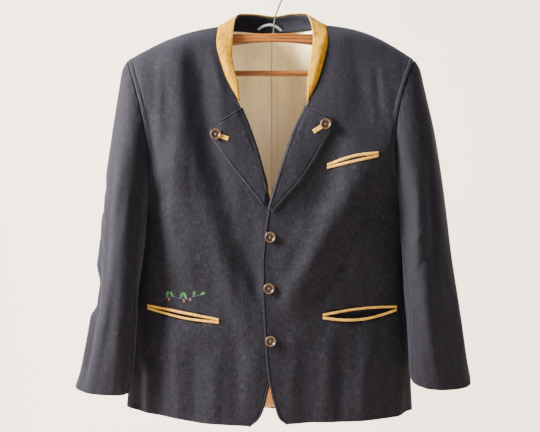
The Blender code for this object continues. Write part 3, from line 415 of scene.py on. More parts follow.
# Sprig of oak: the stem's middle line, then leaves and acorns as (x, z, degrees, length, half width)
STEM_STEPS = 6
STEM = [(-212, -616), (-201, -610), (-189, -609), (-176, -612), (-163, -612.5), (-150, -607.5),
        (-137, -604)]
LEAVES = {
    "leaf_green": [(-203, -610.5, 78, 12.5, 3.2), (-177, -611.5, 60, 14, 3.6),
                   (-151, -608, 74, 11.5, 3.0)],
    "moss_green": [(-190, -609, 120, 11.5, 2.9), (-164, -612, 112, 12.5, 3.2),
                   (-138, -604, 26, 10, 2.8)],
}
ACORNS = [(-197, -610.5, 250, 6.4, 1.8), (-170, -612.5, 285, 6.4, 1.8), (-156, -610.5, 262, 6, 1.7)]
CUP_SHARE = 0.34  # the cup's share of an acorn
THREADS = {
    "thread": (0.0025, 0.0023, 0.003), "suede_thread": (0.22, 0.10, 0.006),
    "leaf_green": (0.018, 0.085, 0.022), "moss_green": (0.045, 0.13, 0.035),
    "acorn_rust": (0.20, 0.065, 0.02), "cup_brown": (0.07, 0.026, 0.012),
    "stem_violet": (0.055, 0.045, 0.12),
}

YARN = 0.0011  # metres from one thread of the cloth to the next

# Colours of the small things
LINING_DOTS = (0.2, 0.15, 0.1)
# painted shade: the warm dark tone that the lining takes in deep shade low inside the hem
LINING_HEM_SHADE = (0.42, 0.17, 0.035)
HORN_RIM = ((0.12, 0.058, 0.018), (0.03, 0.012, 0.004))  # light and dark
HORN_DARK = ((0.03, 0.012, 0.004), (0.008, 0.004, 0.002))
BEECH = ((0.055, 0.013, 0.0012), (0.255, 0.078, 0.006))  # dark and light
STEEL = (0.055, 0.052, 0.05)
TAPE = (0.36, 0.36, 0.36)

# Stage, in metres
COVE_CELLS = 16
COVE_START = 3.2
COVE_RADIUS = 1.6
COVE_REACH = 9
ROOM_COLOUR = (1.0, 0.985, 0.965)
ROOM_BRIGHT_SIDE = (-0.55, 0.75, 0.36)
ROOM_RAMP = (-0.8, 0.9, 0.58, 1.05)  # direction from and to, strength from and to
WALL_POWER = 330  # the nearer one of the two lights on the wall
LIGHTS = {  # place, target, size, colour
    "window_light": ((-2.15, -0.72, 0.75), (0, 0, -0.4), (0.8, 1.2), (1, 0.985, 0.965)),
    "fill_light": ((1.6, -2.6, 0.3), (0, 0, -0.4), (1.6, 1.6), (1, 0.96, 0.93)),
    "wall_light_near": ((-1.8, 1.6, 1.2), (-0.6, 4.8, -0.4), (2.5, 1.5), (1, 0.985, 0.965)),
    "wall_light_far": ((2.2, 1.6, 0.8), (0.9, 4.8, -0.5), (2.0, 1.5), (1, 0.975, 0.94)),
}

# Kept from one operator to the next
FINISHES = {}
SURFACES = {}  # the cloth that later pieces are laid on, as lookups
GRIDS = {}  # the points of that cloth
TRIMS = {}  # small pieces sewn on each sheet
HANGER_FINISHES = {"hanger_bow": "wood", "hanger_bar": "wood", "hanger_hook": "steel"}


@functools.lru_cache(maxsize=None)
def table(rows, column, at):
    """Smooth value of one column at a value of the table's first column."""
    keys = [row[0] for row in rows]
    values = [getattr(row, column) for row in rows]
    slopes = [(values[i + 1] - values[i]) / (keys[i + 1] - keys[i]) for i in range(len(rows) - 1)]
    tangents = [slopes[0]]
    for before, after in zip(slopes, slopes[1:]):
        steady = before * after > 0
        tangents.append(2 * before * after / (before + after) if steady else 0)
    tangents.append(slopes[-1])
    at = min(max(at, keys[0]), keys[-1])
    i = max(k for k in range(len(rows) - 1) if keys[k] <= at)
    span = keys[i + 1] - keys[i]
    t = (at - keys[i]) / span
    rise = (1 + 2 * t) * (1 - t) ** 2 * values[i] + t * t * (3 - 2 * t) * values[i + 1]
    return rise + span * (t * (1 - t) ** 2 * tangents[i] - t * t * (1 - t) * tangents[i + 1])


def mix(a, b, share):
    """The value at a share of the way from a to b."""
    return a + (b - a) * share


def ease(low, high, at):
    """0 before low and 1 past high, with a soft slope between; high may lie before low."""
    t = min(max((at - low) / (high - low), 0), 1)
    return t * t * (3 - 2 * t)


def arch(share):
    """A round arch: 0 at both ends and 1 in the middle."""
    return math.sin(math.pi * share)


def window(rise, fall, at):
    """1 between two soft slopes, each given as its foot and its top."""
    return ease(*rise, at) * ease(*fall, at)


def circle(degrees):
    """Cosine and sine."""
    return math.cos(math.radians(degrees)), math.sin(math.radians(degrees))


def evenly(cells):
    """Even shares from 0 to 1."""
    return [k / cells for k in range(cells + 1)]


def offsets(cells):
    """Even places from -1 to 1."""
    return [2 * share - 1 for share in evenly(cells)]


def from_table(rows, at, *columns):
    """A vector of several columns of a table."""
    return Vector([table(rows, column, at) for column in columns])


def outward_normals(grid, inside):
    """Unit normals at a grid's points, pointing away from inside(point)."""
    last_row, last_column = len(grid) - 1, len(grid[0]) - 1
    normals = []
    for i, line in enumerate(grid):
        out = []
        for j, point in enumerate(line):
            along = grid[min(i + 1, last_row)][j] - grid[max(i - 1, 0)][j]
            across = line[min(j + 1, last_column)] - line[max(j - 1, 0)]
            normal = across.cross(along).normalized()
            facing = normal.dot(point - inside(point))
            out.append(normal if facing > 0 else -normal)
        normals.append(out)
    return normals


def along_line(x, z, x1, z1, x2, z2):
    """Share along a line and distance from it."""
    dx, dz = x2 - x1, z2 - z1
    length = math.hypot(dx, dz)
    share = ((x - x1) * dx + (z - z1) * dz) / length ** 2
    off = ((x - x1) * dz - (z - z1) * dx) / length
    return share, off


def fold_height(share, off, half_width, height):
    """Height of a fold that swells and dies away along its line."""
    return height * window(*FOLD_ENDS, share) * math.exp(-(off / half_width) ** 2)


def body_folds(piece, point):
    """Height of all of a panel's folds at a point."""
    total = 0
    for fold in FOLDS[piece]:
        share, off = along_line(point.x, point.z, fold.x1, fold.z1, fold.x2, fold.z2)
        total += fold_height(share, off, fold.half_width, fold.height)
    return total


def sleeve_folds(side, down, angle):
    """Height of all of a sleeve's folds, in a plane of degrees and unrolled length."""
    angle = (angle + FOLD_SPLIT) % 360 - FOLD_SPLIT
    total = 0
    for fold in SLEEVE_FOLDS[side]:
        share, off = along_line(angle, down * SLEEVE_UNROLLED, fold.angle1, fold.down1 * SLEEVE_UNROLLED,
                                fold.angle2, fold.down2 * SLEEVE_UNROLLED)
        total += fold_height(share, off, fold.half_width, fold.height)
    return total


def sleeve_ring(side, down):
    """Middle, half width vector and half depth of the sleeve at a share of its length."""
    rows = SLEEVE[side]
    outer = from_table(rows, down, "outer_x", "outer_y", "outer_z")
    inner = from_table(rows, down, "inner_x", "inner_y", "inner_z")
    return (outer + inner) / 2, (outer - inner) / 2, table(rows, "depth", down)


def sleeve_point(side, down, angle):
    """A point of the plain sleeve's tube at a share of its length."""
    middle, half, depth = sleeve_ring(side, down)
    cos, sin = circle(angle)
    hollow = ARMHOLE_HOLLOW[side][0 if sin > 0 else 1] * ease(HOLLOW_FADES_BY, 0, down)
    drop = CUFF_DROP[side] * (sin if sin > 0 else CUFF_LIFT * sin) * ease(0.7, 1, down)
    shift = Vector((-SIDE_SIGN[side] * hollow * sin * sin, -depth * sin, -drop))
    return middle + half * cos + shift


def armhole_angle(up):
    """The armhole's angle at a height above the underarm: 180 below the arm, 0 at the shoulder."""
    return 180 * (1 - (up - UNDERARM) / (1 - UNDERARM))


def side_point(side, up, behind=False):
    """A panel's edge at the side: the side seam, then the armhole."""
    if up <= UNDERARM:
        rows = SIDE_SEAM[side]
        level = table(rows, "z", up)
        settle = ease(UNDERARM, UNDERARM - 0.1, up)
        y = mix(SLEEVE[side][0].inner_y, SIDE_SEAM_Y, settle)
        return Vector((table(rows, "x", up), y, level))
    angle = armhole_angle(up)
    return sleeve_point(side, 0, -angle if behind else angle)


def front_edge(side, up):
    """The front's free edge, roll line and neck seam."""
    return from_table(FRONT_EDGE[side], up, "x", "y", "z")


def shoulder_seam(side, share):
    """The shoulder seam from the neck (0) to the sleeve's head (1)."""
    neck, tip = front_edge(side, 1), sleeve_point(side, 0, 0)
    rise = SHOULDER_RISE[side] * arch(share)
    return neck.lerp(tip, share) + Vector((0, 0, rise))


def back_neck(side, share):
    """The neck seam from the centre back (0) to the shoulder seam (1)."""
    neck = front_edge(side, 1)
    turn = share * math.pi / 2
    centre_y, centre_z = CENTRE_BACK[-1].y, CENTRE_BACK[-1].z
    rise = BACK_NECK_DROP * math.sin(2 * turn)
    return Vector((neck.x * math.sin(turn), mix(centre_y, neck.y, 1 - math.cos(turn)),
                   mix(centre_z, neck.z, share) + rise))


def swept_row(start, end, across, up):
    """A point across a panel: a quarter oval, a flat run or between the two."""
    turn = across * math.pi / 2
    roundness = table(BODY_SHAPE, "round", up)
    x_share = mix(across, math.sin(turn), roundness)
    y_share = mix(across, 1 - max(math.cos(turn), 0) ** table(BODY_SHAPE, "corner", up), roundness)
    return Vector((mix(start.x, end.x, x_share), mix(start.y, end.y, y_share),
                   mix(start.z, end.z, x_share)))


def front_point(side, across, up):
    """A point of a plain front, from its free edge (0) to the side (1)."""
    start, end = front_edge(side, up), side_point(side, up)
    point = swept_row(start, end, across, up)
    bump = arch(across)
    point.y -= table(BODY_SHAPE, "swell_front", up) * bump
    point.z += SHOULDER_RISE[side] * bump * ease(0.76, 1, up)
    point.z -= HEM_SAG[side] * bump * ease(0.1, 0, up)
    return point


def back_point(side, across, up):
    """A point of a plain back panel, from the centre (0) to the side (1)."""
    centre = Vector((0, table(CENTRE_BACK, "y", up), table(CENTRE_BACK, "z", up)))
    point = swept_row(centre, side_point(side, up, behind=True), across, up)
    point.y += table(BODY_SHAPE, "swell_back", up) * arch(across)
    if across <= BACK_NECK_SHARE:
        edge = back_neck(side, across / BACK_NECK_SHARE)
    else:
        edge = shoulder_seam(side, (across - BACK_NECK_SHARE) / (1 - BACK_NECK_SHARE))
    plain = swept_row(back_neck(side, 0), sleeve_point(side, 0, 0), across, 1)
    return point + (edge - plain) * ease(0.74, 1, up)


def body_axis(point):
    """The middle of the garment at a point's own height, sunk below the shoulders."""
    return Vector((point.x * 0.5, 0, point.z - 40 * ease(-260, -100, point.z)))


def neck_seam(around):
    """The neck seam at a place round the collar."""
    side = "right" if around < 0 else "left"
    reach = abs(around)
    if reach <= NECK_POINT:
        return back_neck(side, reach / NECK_POINT)
    share = (reach - NECK_POINT) / (1 - NECK_POINT)
    return front_edge(side, mix(1, NECK_START, share))


def collar_edge(around):
    """The collar's free edge at a place round it."""
    return from_table(COLLAR_EDGE, around, "x", "y", "z")


def surface_of(grid):
    """A lookup of the outer face of a grid's wall."""
    columns = len(grid[0])
    points = [p for line in grid for p in line]
    faces = []
    for i in range(len(grid) - 1):
        for j in range(columns - 1):
            a = i * columns + j
            faces.append((a, a + 1, a + columns + 1))
            faces.append((a, a + columns + 1, a + columns))
    return BVHTree.FromPolygons(points, faces)


def seat(surface, x, z, lift):
    """The point of a surface straight behind (x, z), lifted towards the front."""
    start = Vector((x, -400, z))
    place, _, _, _ = surface.ray_cast(start, Vector((0, 1, 0)))
    if place is None:
        place, _, _, _ = surface.find_nearest(Vector((x, -70, z)))
        place = Vector((x, place.y, z))
    return place + Vector((0, -lift, 0))


def drawn_in(line, gap):
    """Draws a line's last point back by a gap and spreads the crowded points before it evenly."""
    if not gap:
        return line
    left = [sum((b - a).length for a, b in zip(line[k:], line[k + 1:])) for k in range(len(line))]
    kept = max(k for k, far in enumerate(left) if far > gap * 2)
    end = line[-1] + (line[kept] - line[-1]).normalized() * gap
    steps = len(line) - 1 - kept
    return line[:kept + 1] + [line[kept].lerp(end, k / steps) for k in range(1, steps + 1)]


def open_seams(grid, top=0, first=0, last=0):
    """Pulls a grid's edges back from the seam lines by the given distances."""
    pulled = []
    for line in grid:
        line = drawn_in([p.copy() for p in line], last)
        pulled.append(drawn_in(line[::-1], first)[::-1])
    for j in range(len(grid[0])):
        pulled[-1][j] += (grid[-2][j] - grid[-1][j]).normalized() * top
    return pulled


def ring_inward(side, angle):
    """Direction in the armhole's own plane, at right angles to its seam, towards its middle."""
    _, half, depth = sleeve_ring(side, 0)
    cos, sin = circle(angle)
    way = half.normalized() * cos / half.length
    way += Vector((0, -1, 0)) * sin / depth
    return -way.normalized()


# ---------------- fine grids

def spread(step, fine_start, fine_end, cells):
    """Shares from 0 to 1: fine steps at each end and even ones between."""
    start = [k * step for k in range(fine_start + 1)]
    end = [1 - k * step for k in range(fine_end, -1, -1)]
    return start + [mix(start[-1], end[0], k / cells) for k in range(1, cells)] + end


ACROSS = spread(0.0032, 9, 12, 72)  # panel columns: fine at the front edge and the armhole
UPS = spread(0.0022, 3, 2, 130)  # panel rows
DOWNS = spread(0.003, 5, 4, 120)  # sleeve rows
SLEEVE_SPANS = {"under": (UNDER_SLEEVE[0], UNDER_SLEEVE[1], spread(0.012, 4, 4, 36)),
                "upper": (UNDER_SLEEVE[1] - 360, UNDER_SLEEVE[0], spread(0.006, 4, 4, 76))}


def lengths_along(points):
    """Distance of each point from the first, along the line."""
    total, out = 0, [0]
    for a, b in zip(points, points[1:]):
        total += (b - a).length
        out.append(total)
    return out


def flat_size(grid):
    """Width, length and area in metres of the cloth that a grid was cut from."""
    width = max(lengths_along(line)[-1] for line in grid) * MM
    length = max(lengths_along(column)[-1] for column in zip(*grid)) * MM
    area = 0
    for low, high in zip(grid, grid[1:]):
        for a, b, c, d in zip(low, low[1:], high[1:], high):
            area += ((b - a).cross(d - a).length + (b - c).cross(d - c).length) / 2 * MM * MM
    return width, length, area


def cloth_from(name, grid, axis, thickness, face, back=None, hem=None, edge=None):
    """A piece of cloth: a grid laid on its points, with UVs in metres and a live wall behind it.

    Where hem(i, j) holds, the cloth is the same on both sides, or has the edge finish."""
    rows, columns = len(grid) - 1, len(grid[0]) - 1
    middle_row = lengths_along(grid[rows // 2])
    middle_column = lengths_along([line[columns // 2] for line in grid])
    bm = bmesh.new()
    uvs = bm.loops.layers.uv.new("UVMap")
    bmesh.ops.create_grid(bm, x_segments=columns, y_segments=rows, size=1.0)
    outward = 0
    for vert in bm.verts:
        j = round((vert.co.x + 1) / 2 * columns)
        i = round((vert.co.y + 1) / 2 * rows)
        vert.co = grid[i][j] * MM
        for loop in vert.link_loops:
            loop[uvs].uv = (middle_row[j] * MM, middle_column[i] * MM)
        if hem and hem(i, j):
            for turned in vert.link_faces:
                turned.material_index = 2
    for piece in bm.faces:
        piece.normal_update()
        centre = piece.calc_center_median() / MM
        outward += piece.normal.dot(centre - axis(centre))
    if outward < 0:
        bmesh.ops.reverse_faces(bm, faces=bm.faces)
    made = object_of(bm, name, face, back or face, edge or face, edge or face)
    if thickness:
        wall = made.modifiers.new("wall", "SOLIDIFY")
        wall.thickness = thickness * MM
        wall.offset = -1
        wall.material_offset = 1
        wall.material_offset_rim = 0
    return made


def object_of(bm, name, *finishes, smooth=50):
    """An object at the origin from a bmesh, shaded smooth up to an angle in degrees."""
    mesh = bpy.data.meshes.new(name)
    bm.to_mesh(mesh)
    bm.free()
    mesh.shade_smooth()
    mesh.set_sharp_from_angle(angle=math.radians(smooth))
    for slot in finishes:
        mesh.materials.append(slot)
    made = bpy.data.objects.new(name, mesh)
    bpy.context.scene.collection.objects.link(made)
    return made


def tucked(grid, axis, edge, reaches, depth=TUCK_DEPTH):
    """Adds an allowance beyond the top, first or last edge, down and on under the next piece.

    reaches gives the allowance's length at each point of the edge; below 0 it is folded back."""
    normals = outward_normals(grid, axis)
    if edge in ("first", "last"):
        end, near = (0, 1) if edge == "first" else (-1, -2)
        for line, ways, reach in zip(grid, normals, reaches):
            tangent = (line[end] - line[near]).normalized()
            down = line[end] - ways[end] * depth
            under = [down + tangent * reach, down + tangent * min(TUCK_STEP, reach)]
            line[:] = under + line if edge == "first" else line + under[::-1]
        return grid
    downs, unders = [], []
    for point, before, way, reach in zip(grid[-1], grid[-2], normals[-1], reaches):
        tangent = (point - before).normalized()
        downs.append(point - way * depth + tangent * TUCK_STEP)
        unders.append(point - way * depth + tangent * reach)
    return grid + [downs, unders]


# ---------------- creases

def ripple(point, seed):
    """Small uneven waves of hung cloth, longer than they are wide."""
    total = 0
    for k, (height, width, length) in enumerate(RIPPLES):
        total += height * noise.noise(Vector((point.x / width, point.z / length, seed + 5 * k)))
    return total


def seam_dip(distance):
    """How far cloth sinks towards a seam."""
    return -SEAM_DIP * math.exp(-(distance / SEAM_DIP_WIDTH) ** 2)


def edge_band(distance):
    """The stitched band along a free edge: raised, with the stitch line sunk at its inner side."""
    half = BAND_RISE / 2
    band = window((0, BAND_RISE), (EDGE_BAND + half, EDGE_BAND - half), distance)
    groove = math.exp(-((distance - EDGE_BAND) / BAND_GROOVE_WIDTH) ** 2)
    return BAND_HEIGHT * band - BAND_GROOVE * groove


def padding_ridge(distance, level):
    """The ridge that a pressed seam allowance raises beside the armhole, fading downwards."""
    place, width = RIDGE_GROOVE
    groove = math.exp(-((distance - place) / width) ** 2)
    return (RIDGE_HEIGHT * window(*RIDGE_BAND, distance) - groove) * ease(*RIDGE_FADES, level)


def eased_underarm(grid):
    """Softens the turn that a panel takes where its armhole ends, all but at the seam itself."""
    for _ in range(UNDERARM_PASSES):
        for j, across in enumerate(ACROSS):
            share = window(*UNDERARM_ACROSS, across) / 2
            for i, up in enumerate(UPS):
                near = ease(UNDERARM_REACH, UNDERARM_REACH / 2, abs(up - UNDERARM)) * share
                if near > NOT_WORTH:
                    grid[i][j] = grid[i][j].lerp((grid[i - 1][j] + grid[i + 1][j]) / 2, near)
    return grid


@functools.lru_cache(maxsize=None)
def back_grid(side):
    """The back's plain outer points, its turn below the neck point softened."""
    grid = eased_underarm([[back_point(side, a, up) for a in ACROSS] for up in UPS])
    for _ in range(NECK_PASSES):
        for i in range(1, len(UPS) - 1):
            share = ease(*NECK_ROWS, UPS[i])
            if not share:
                continue
            for j, across in enumerate(ACROSS):
                near = share * window(*NECK_ACROSS, across) * 0.6
                if near > NOT_WORTH:
                    middle = (grid[i][j - 1] + grid[i][j + 1]) * 0.35
                    middle += (grid[i - 1][j] + grid[i + 1][j]) * 0.15
                    grid[i][j] = grid[i][j].lerp(middle, near)
    return grid


def panel_fine(piece, side, behind):
    """Outer points of a panel with every crease, band and seam."""
    if behind:
        grid = back_grid(side)
    else:
        grid = eased_underarm([[front_point(side, a, up) for a in ACROSS] for up in UPS])
    normals = outward_normals(grid, body_axis)
    columns = [lengths_along([line[j] for line in grid]) for j in range(len(ACROSS))]
    out = []
    for i, up in enumerate(UPS):
        reach = lengths_along(grid[i])
        line = []
        for j, across in enumerate(ACROSS):
            point = grid[i][j]
            free = window(*CALM_EDGES, across) * ease(*CALM_SHOULDER, up)
            height = (body_folds(piece, point) + ripple(point, SEEDS[piece])) * free
            from_end, from_top = reach[-1] - reach[j], columns[j][-1] - columns[j][i]
            if up < UNDERARM:
                below = window(SIDE_EASE_TO, SIDE_EASE_FROM, up)
                point = point + Vector((SIDE_SIGN[side] * SIDE_EASE * below, 0, 0)) * across ** 3
            height += seam_dip(from_end) + seam_dip(from_top)
            if up > UNDERARM:
                whole = ease(*RIDGE_FADES_TOP, from_top) * (0.5 if behind else 1)
                height += padding_ridge(from_end, point.z) * whole
            if behind:
                height += seam_dip(reach[j])
            elif up < NECK_START:
                height += edge_band(reach[j])
            hang = between(HEM_DROPS[piece], point.x) * ease(HEM_DROP_FADES_BY, 0, up)
            line.append(point + normals[i][j] * height - Vector((0, 0, hang)))
        out.append(line)
    return out


def between(pairs, at):
    """Straight-line value of a list of (place, value) pairs at a place."""
    at = min(max(at, pairs[0][0]), pairs[-1][0])
    (a, low), (b, high) = next((p, q) for p, q in zip(pairs, pairs[1:]) if at <= q[0])
    return mix(low, high, (at - a) / (b - a))


def sleeve_fine(side, part):
    """Outer points of a sleeve piece, and the tube's middle at each row."""
    start, end, shares = SLEEVE_SPANS[part]
    grid, middles = [], []
    for down in DOWNS:
        middle, _, _ = sleeve_ring(side, down)
        line = []
        for share in shares:
            angle = mix(start, end, share)
            point = sleeve_point(side, down, angle)
            sin = circle(angle)[1]
            around = 100 * circle(angle + 20)[1]
            wave = ripple(Vector((around, 0, point.z)), SEEDS[f"sleeve_{side}"])
            from_seam = min(share, 1 - share) * (end - start)
            height = (sleeve_folds(side, down, angle) + wave) * ease(0, 0.1, down)
            height += seam_dip(from_seam * 1.1) + seam_dip(down * 640)
            puckers = math.sin(math.radians(angle) * CAP_PUCKERS)
            height += CAP_PUCKER * puckers * ease(0.035, 0.008, down)
            front = max(sin, 0)
            square = CUFF_DROP[side] * (front ** CUFF_SQUARE - front) * ease(0.75, 1, down)
            line.append(point + (point - middle).normalized() * height - Vector((0, 0, square)))
        grid.append(line)
        middles.append(middle)
    return grid, middles


# ---------------- finishes

class Finish:
    """A material being put together from nodes."""

    def __init__(self, name, colour, roughness, **sockets):
        self.material = bpy.data.materials.new(name)
        self.material.use_nodes = True
        self.tree = self.material.node_tree
        self.shader = self.tree.nodes["Principled BSDF"]
        self.shader.inputs["Base Color"].default_value = (*colour, 1)
        self.shader.inputs["Roughness"].default_value = roughness
        for socket, value in sockets.items():
            self.shader.inputs[socket.replace("_", " ")].default_value = value

    def feed(self, node, key, value):
        """Links an input to a socket, or sets it to a plain value."""
        if isinstance(value, bpy.types.NodeSocket):
            self.tree.links.new(value, node.inputs[key])
        else:
            node.inputs[key].default_value = value

    def node(self, kind, inputs, **settings):
        """A new node with its settings and inputs."""
        made = self.tree.nodes.new(kind)
        for key, value in settings.items():
            setattr(made, key, value)
        for key, value in inputs.items():
            self.feed(made, key, value)
        return made

    def place(self, source="UV", scale=(1, 1, 1), turn=0):
        """Coordinates in metres, stretched and turned for a pattern."""
        coords = self.node("ShaderNodeTexCoord", {})
        mapped = self.node("ShaderNodeMapping", {"Vector": coords.outputs[source]})
        mapped.inputs["Scale"].default_value = scale
        mapped.inputs["Rotation"].default_value = (0, 0, math.radians(turn))
        return mapped.outputs["Vector"]

    def noise(self, where, scale, detail=2, distortion=0):
        """Cloudy noise from 0 to 1."""
        made = self.node("ShaderNodeTexNoise", {"Vector": where, "Scale": scale, "Detail": detail,
                                                "Distortion": distortion})
        return made.outputs["Fac"]

    def bands(self, where, scale, direction="X", distortion=0, detail=0):
        """Soft parallel bands from 0 to 1."""
        made = self.node("ShaderNodeTexWave", {"Vector": where, "Scale": scale,
                                               "Distortion": distortion, "Detail": detail},
                         bands_direction=direction)
        return made.outputs["Fac"]

    def calc(self, operation, a, b=0.0, c=0.0):
        """A math operation on one to three values or sockets."""
        inputs = {0: a, 1: b}
        if operation == "MULTIPLY_ADD":
            inputs[2] = c
        return self.node("ShaderNodeMath", inputs, operation=operation).outputs[0]

    def shades(self, factor, *stops):
        """A colour ramp: each stop is (place, colour)."""
        made = self.node("ShaderNodeValToRGB", {"Fac": factor})
        while len(made.color_ramp.elements) < len(stops):
            made.color_ramp.elements.new(1)
        for element, (at, colour) in zip(made.color_ramp.elements, stops):
            element.position = at
            element.color = (*colour, 1)
        return made.outputs["Color"]

    def blended(self, factor, first, second):
        """Two colours mixed by a factor."""
        made = self.node("ShaderNodeMix", {0: factor}, data_type="RGBA", blend_type="MIX")
        for key, value in ((6, first), (7, second)):
            plain = not isinstance(value, bpy.types.NodeSocket)
            self.feed(made, key, (*value, 1) if plain else value)
        return made.outputs[2]

    def relief(self, height, depth, strength, under=None):
        """A bumped normal, over another one if it is given."""
        inputs = {"Height": height, "Distance": depth, "Strength": strength}
        if under:
            inputs["Normal"] = under
        return self.node("ShaderNodeBump", inputs).outputs["Normal"]

    def wire(self, **links):
        """Links sockets to the shader and gives the finished material."""
        for socket, source in links.items():
            self.tree.links.new(source, self.shader.inputs[socket.replace("_", " ")])
        return self.material


def toned(colour, factor, lift=0):
    """A colour made darker or lighter."""
    return [c * factor + lift for c in colour]


def between_colours(first, second, share):
    """The colour at a share of the way from one to another."""
    return [mix(a, b, share) for a, b in zip(first, second)]


def woven_cloth(name, dark, light):
    """Plain-woven linen and wool: crossing threads, slubs, and an uneven heathered shade."""
    f = Finish(name, light, 0.72, Sheen_Weight=0.1, Sheen_Roughness=0.45, Specular_IOR_Level=0.1)
    f.shader.inputs["Sheen Tint"].default_value = (0.70, 0.68, 0.88, 1)
    flat = f.place()
    warp, weft = [f.bands(flat, 0.314 / YARN, direction, 1.2) for direction in "XY"]
    slub_up = f.noise(f.place(scale=(1, 0.12, 1)), 620, 3)
    slub_across = f.noise(f.place(scale=(0.12, 1, 1)), 620, 3)
    slubs = f.calc("MAXIMUM", slub_up, slub_across)
    grain = f.noise(flat, 900, 2)
    heather = f.noise(flat, 24, 3)
    flecks = f.noise(f.place(scale=(1, 0.3, 1)), 340, 2)
    tone = f.calc("MULTIPLY_ADD", slubs, 0.75, f.calc("MULTIPLY", heather, 0.1))
    tone = f.calc("MULTIPLY_ADD", flecks, 0.35, f.calc("SUBTRACT", tone, 0.275))
    tone = f.calc("MULTIPLY_ADD", grain, 0.3, tone)
    colour = f.shades(tone, (0.40, dark), (0.60, between_colours(dark, light, 0.42)),
                      (0.76, toned(light, 1.35)))
    weave = f.calc("MULTIPLY", f.calc("ADD", warp, weft), 0.5)
    relief = f.relief(weave, 0.00025, 0.5)
    relief = f.relief(slubs, 0.0007, 0.6, relief)
    rough = f.calc("MULTIPLY_ADD", grain, 0.2, 0.62)
    return f.wire(Base_Color=colour, Normal=relief, Roughness=rough)


def napped_suede(name, dark, light):
    """Suede: nap brushed in patches, over a fine grain."""
    f = Finish(name, light, 0.9, Sheen_Weight=0.06, Sheen_Roughness=0.5, Specular_IOR_Level=0.05)
    f.shader.inputs["Sheen Tint"].default_value = (1, 0.74, 0.32, 1)
    where = f.place("Object")
    patches = f.noise(where, 70, 4, 0.6)
    streaks = f.noise(f.place("Object", (1, 1, 0.25)), 260, 3)
    fibre = f.noise(where, 1500, 2)
    tone = f.calc("MULTIPLY_ADD", streaks, 0.5, f.calc("MULTIPLY", patches, 0.5))
    colour = f.shades(tone, (0.32, dark), (0.5, between_colours(dark, light, 0.6)), (0.66, light))
    colour = f.blended(f.calc("MULTIPLY", fibre, 0.22), colour, dark)
    relief = f.relief(fibre, 0.0004, 0.5, f.relief(patches, 0.002, 0.35))
    return f.wire(Base_Color=colour, Normal=relief)


def satin_lining(name, ground, shade, dot, hem):
    """Satin with small woven dots in staggered rows, painted light that makes it paler lower down, and
    painted shade as a tan band along the hem.
    """
    f = Finish(name, ground, 0.42, Sheen_Weight=0.2, Sheen_Roughness=0.4)
    split = f.node("ShaderNodeSeparateXYZ", {"Vector": f.place(scale=(54, 83, 1))})
    row = f.calc("FLOOR", split.outputs["Y"])
    along = f.calc("MULTIPLY_ADD", row, 0.5, split.outputs["X"])
    off_x = f.calc("MULTIPLY", f.calc("SUBTRACT", f.calc("FRACT", along), 0.5), 18.5)
    off_y = f.calc("MULTIPLY", f.calc("SUBTRACT", f.calc("FRACT", split.outputs["Y"]), 0.5), 12.0)
    squared = f.calc("ADD", f.calc("MULTIPLY", off_x, off_x), f.calc("MULTIPLY", off_y, off_y))
    dots = f.calc("LESS_THAN", squared, 0.5)
    cloud = f.noise(f.place(scale=(1, 0.3, 1)), 30, 3)
    twill = f.bands(f.place(turn=63), 380, "X", 0.5)
    colour = f.shades(cloud, (0.35, shade), (0.65, ground))
    level = f.node("ShaderNodeSeparateXYZ", {"Vector": f.place("Object")}).outputs["Z"]
    # Painted light: lower down the satin is mixed towards white, as if more light reached it there.
    painted_light_below = f.node("ShaderNodeMapRange", {"Value": level, "From Min": -0.2, "From Max": -0.36,
                                          "To Min": 0.0, "To Max": 1.0}).outputs["Result"]
    colour = f.blended(painted_light_below, colour, between_colours(ground, (1, 1, 1), 0.35))
    worn = f.shades(f.noise(f.place(scale=(1, 0.5, 1)), 9, 1), (0.42, (0.12,) * 3), (0.6, (0.7,) * 3))
    colour = f.blended(f.calc("MULTIPLY", dots, worn), colour, dot)
    # Painted shade: below this level the lining takes the warm dark tone of deep shade inside the hem.
    colour = f.blended(f.calc("LESS_THAN", level, -0.79), colour, hem)
    relief = f.relief(twill, 0.0001, 0.3, f.relief(cloud, 0.004, 0.4))
    return f.wire(Base_Color=colour, Normal=relief)


def polished_horn(name, rim, recess):
    """Dark horn, paler on its raised rim and eye."""
    f = Finish(name, rim, 0.34, Coat_Weight=0.12, Coat_Roughness=0.15, Specular_IOR_Level=0.35)
    where = f.place("Object")
    cloud = f.noise(where, 420, 4, 1.2)
    flecks = f.noise(where, 1600, 2)
    tone = f.calc("MULTIPLY_ADD", flecks, 0.35, f.calc("MULTIPLY", cloud, 0.65))
    colour = f.shades(tone, (0.34, recess), (0.52, between_colours(recess, rim, 0.5)), (0.68, rim))
    return f.wire(Base_Color=colour, Normal=f.relief(cloud, 0.0005, 0.4))


def varnished_beech(name, dark, light):
    """Beech: long grain along X with short dark flecks, under a clear varnish."""
    f = Finish(name, light, 0.45, Coat_Weight=0.15, Coat_Roughness=0.25, Specular_IOR_Level=0.3)
    grain = f.noise(f.place("Object", (0.06, 1, 1)), 420, 5, 0.8)
    rings = f.bands(f.place("Object", (0.1, 1, 1)), 42, "Z", 6, 3)
    flecks = f.noise(f.place("Object", (0.25, 1, 1)), 1400, 1)
    tone = f.calc("MULTIPLY_ADD", rings, 0.3, f.calc("MULTIPLY", grain, 0.8))
    colour = f.shades(tone, (0.3, dark), (0.72, light))
    spots = f.shades(flecks, (0.6, (0, 0, 0)), (0.68, (1, 1, 1)))
    colour = f.blended(f.calc("MULTIPLY", spots, 0.5), colour, dark)
    return f.wire(Base_Color=colour, Normal=f.relief(grain, 0.0006, 0.4))


def drawn_steel(name, colour):
    """Drawn steel wire with fine marks along it."""
    f = Finish(name, colour, 0.3, Metallic=1.0)
    marks = f.noise(f.place("Object", (1, 1, 0.1)), 2600, 2)
    rough = f.calc("MULTIPLY_ADD", marks, 0.3, 0.18)
    return f.wire(Roughness=rough, Normal=f.relief(marks, 0.0001, 0.4))


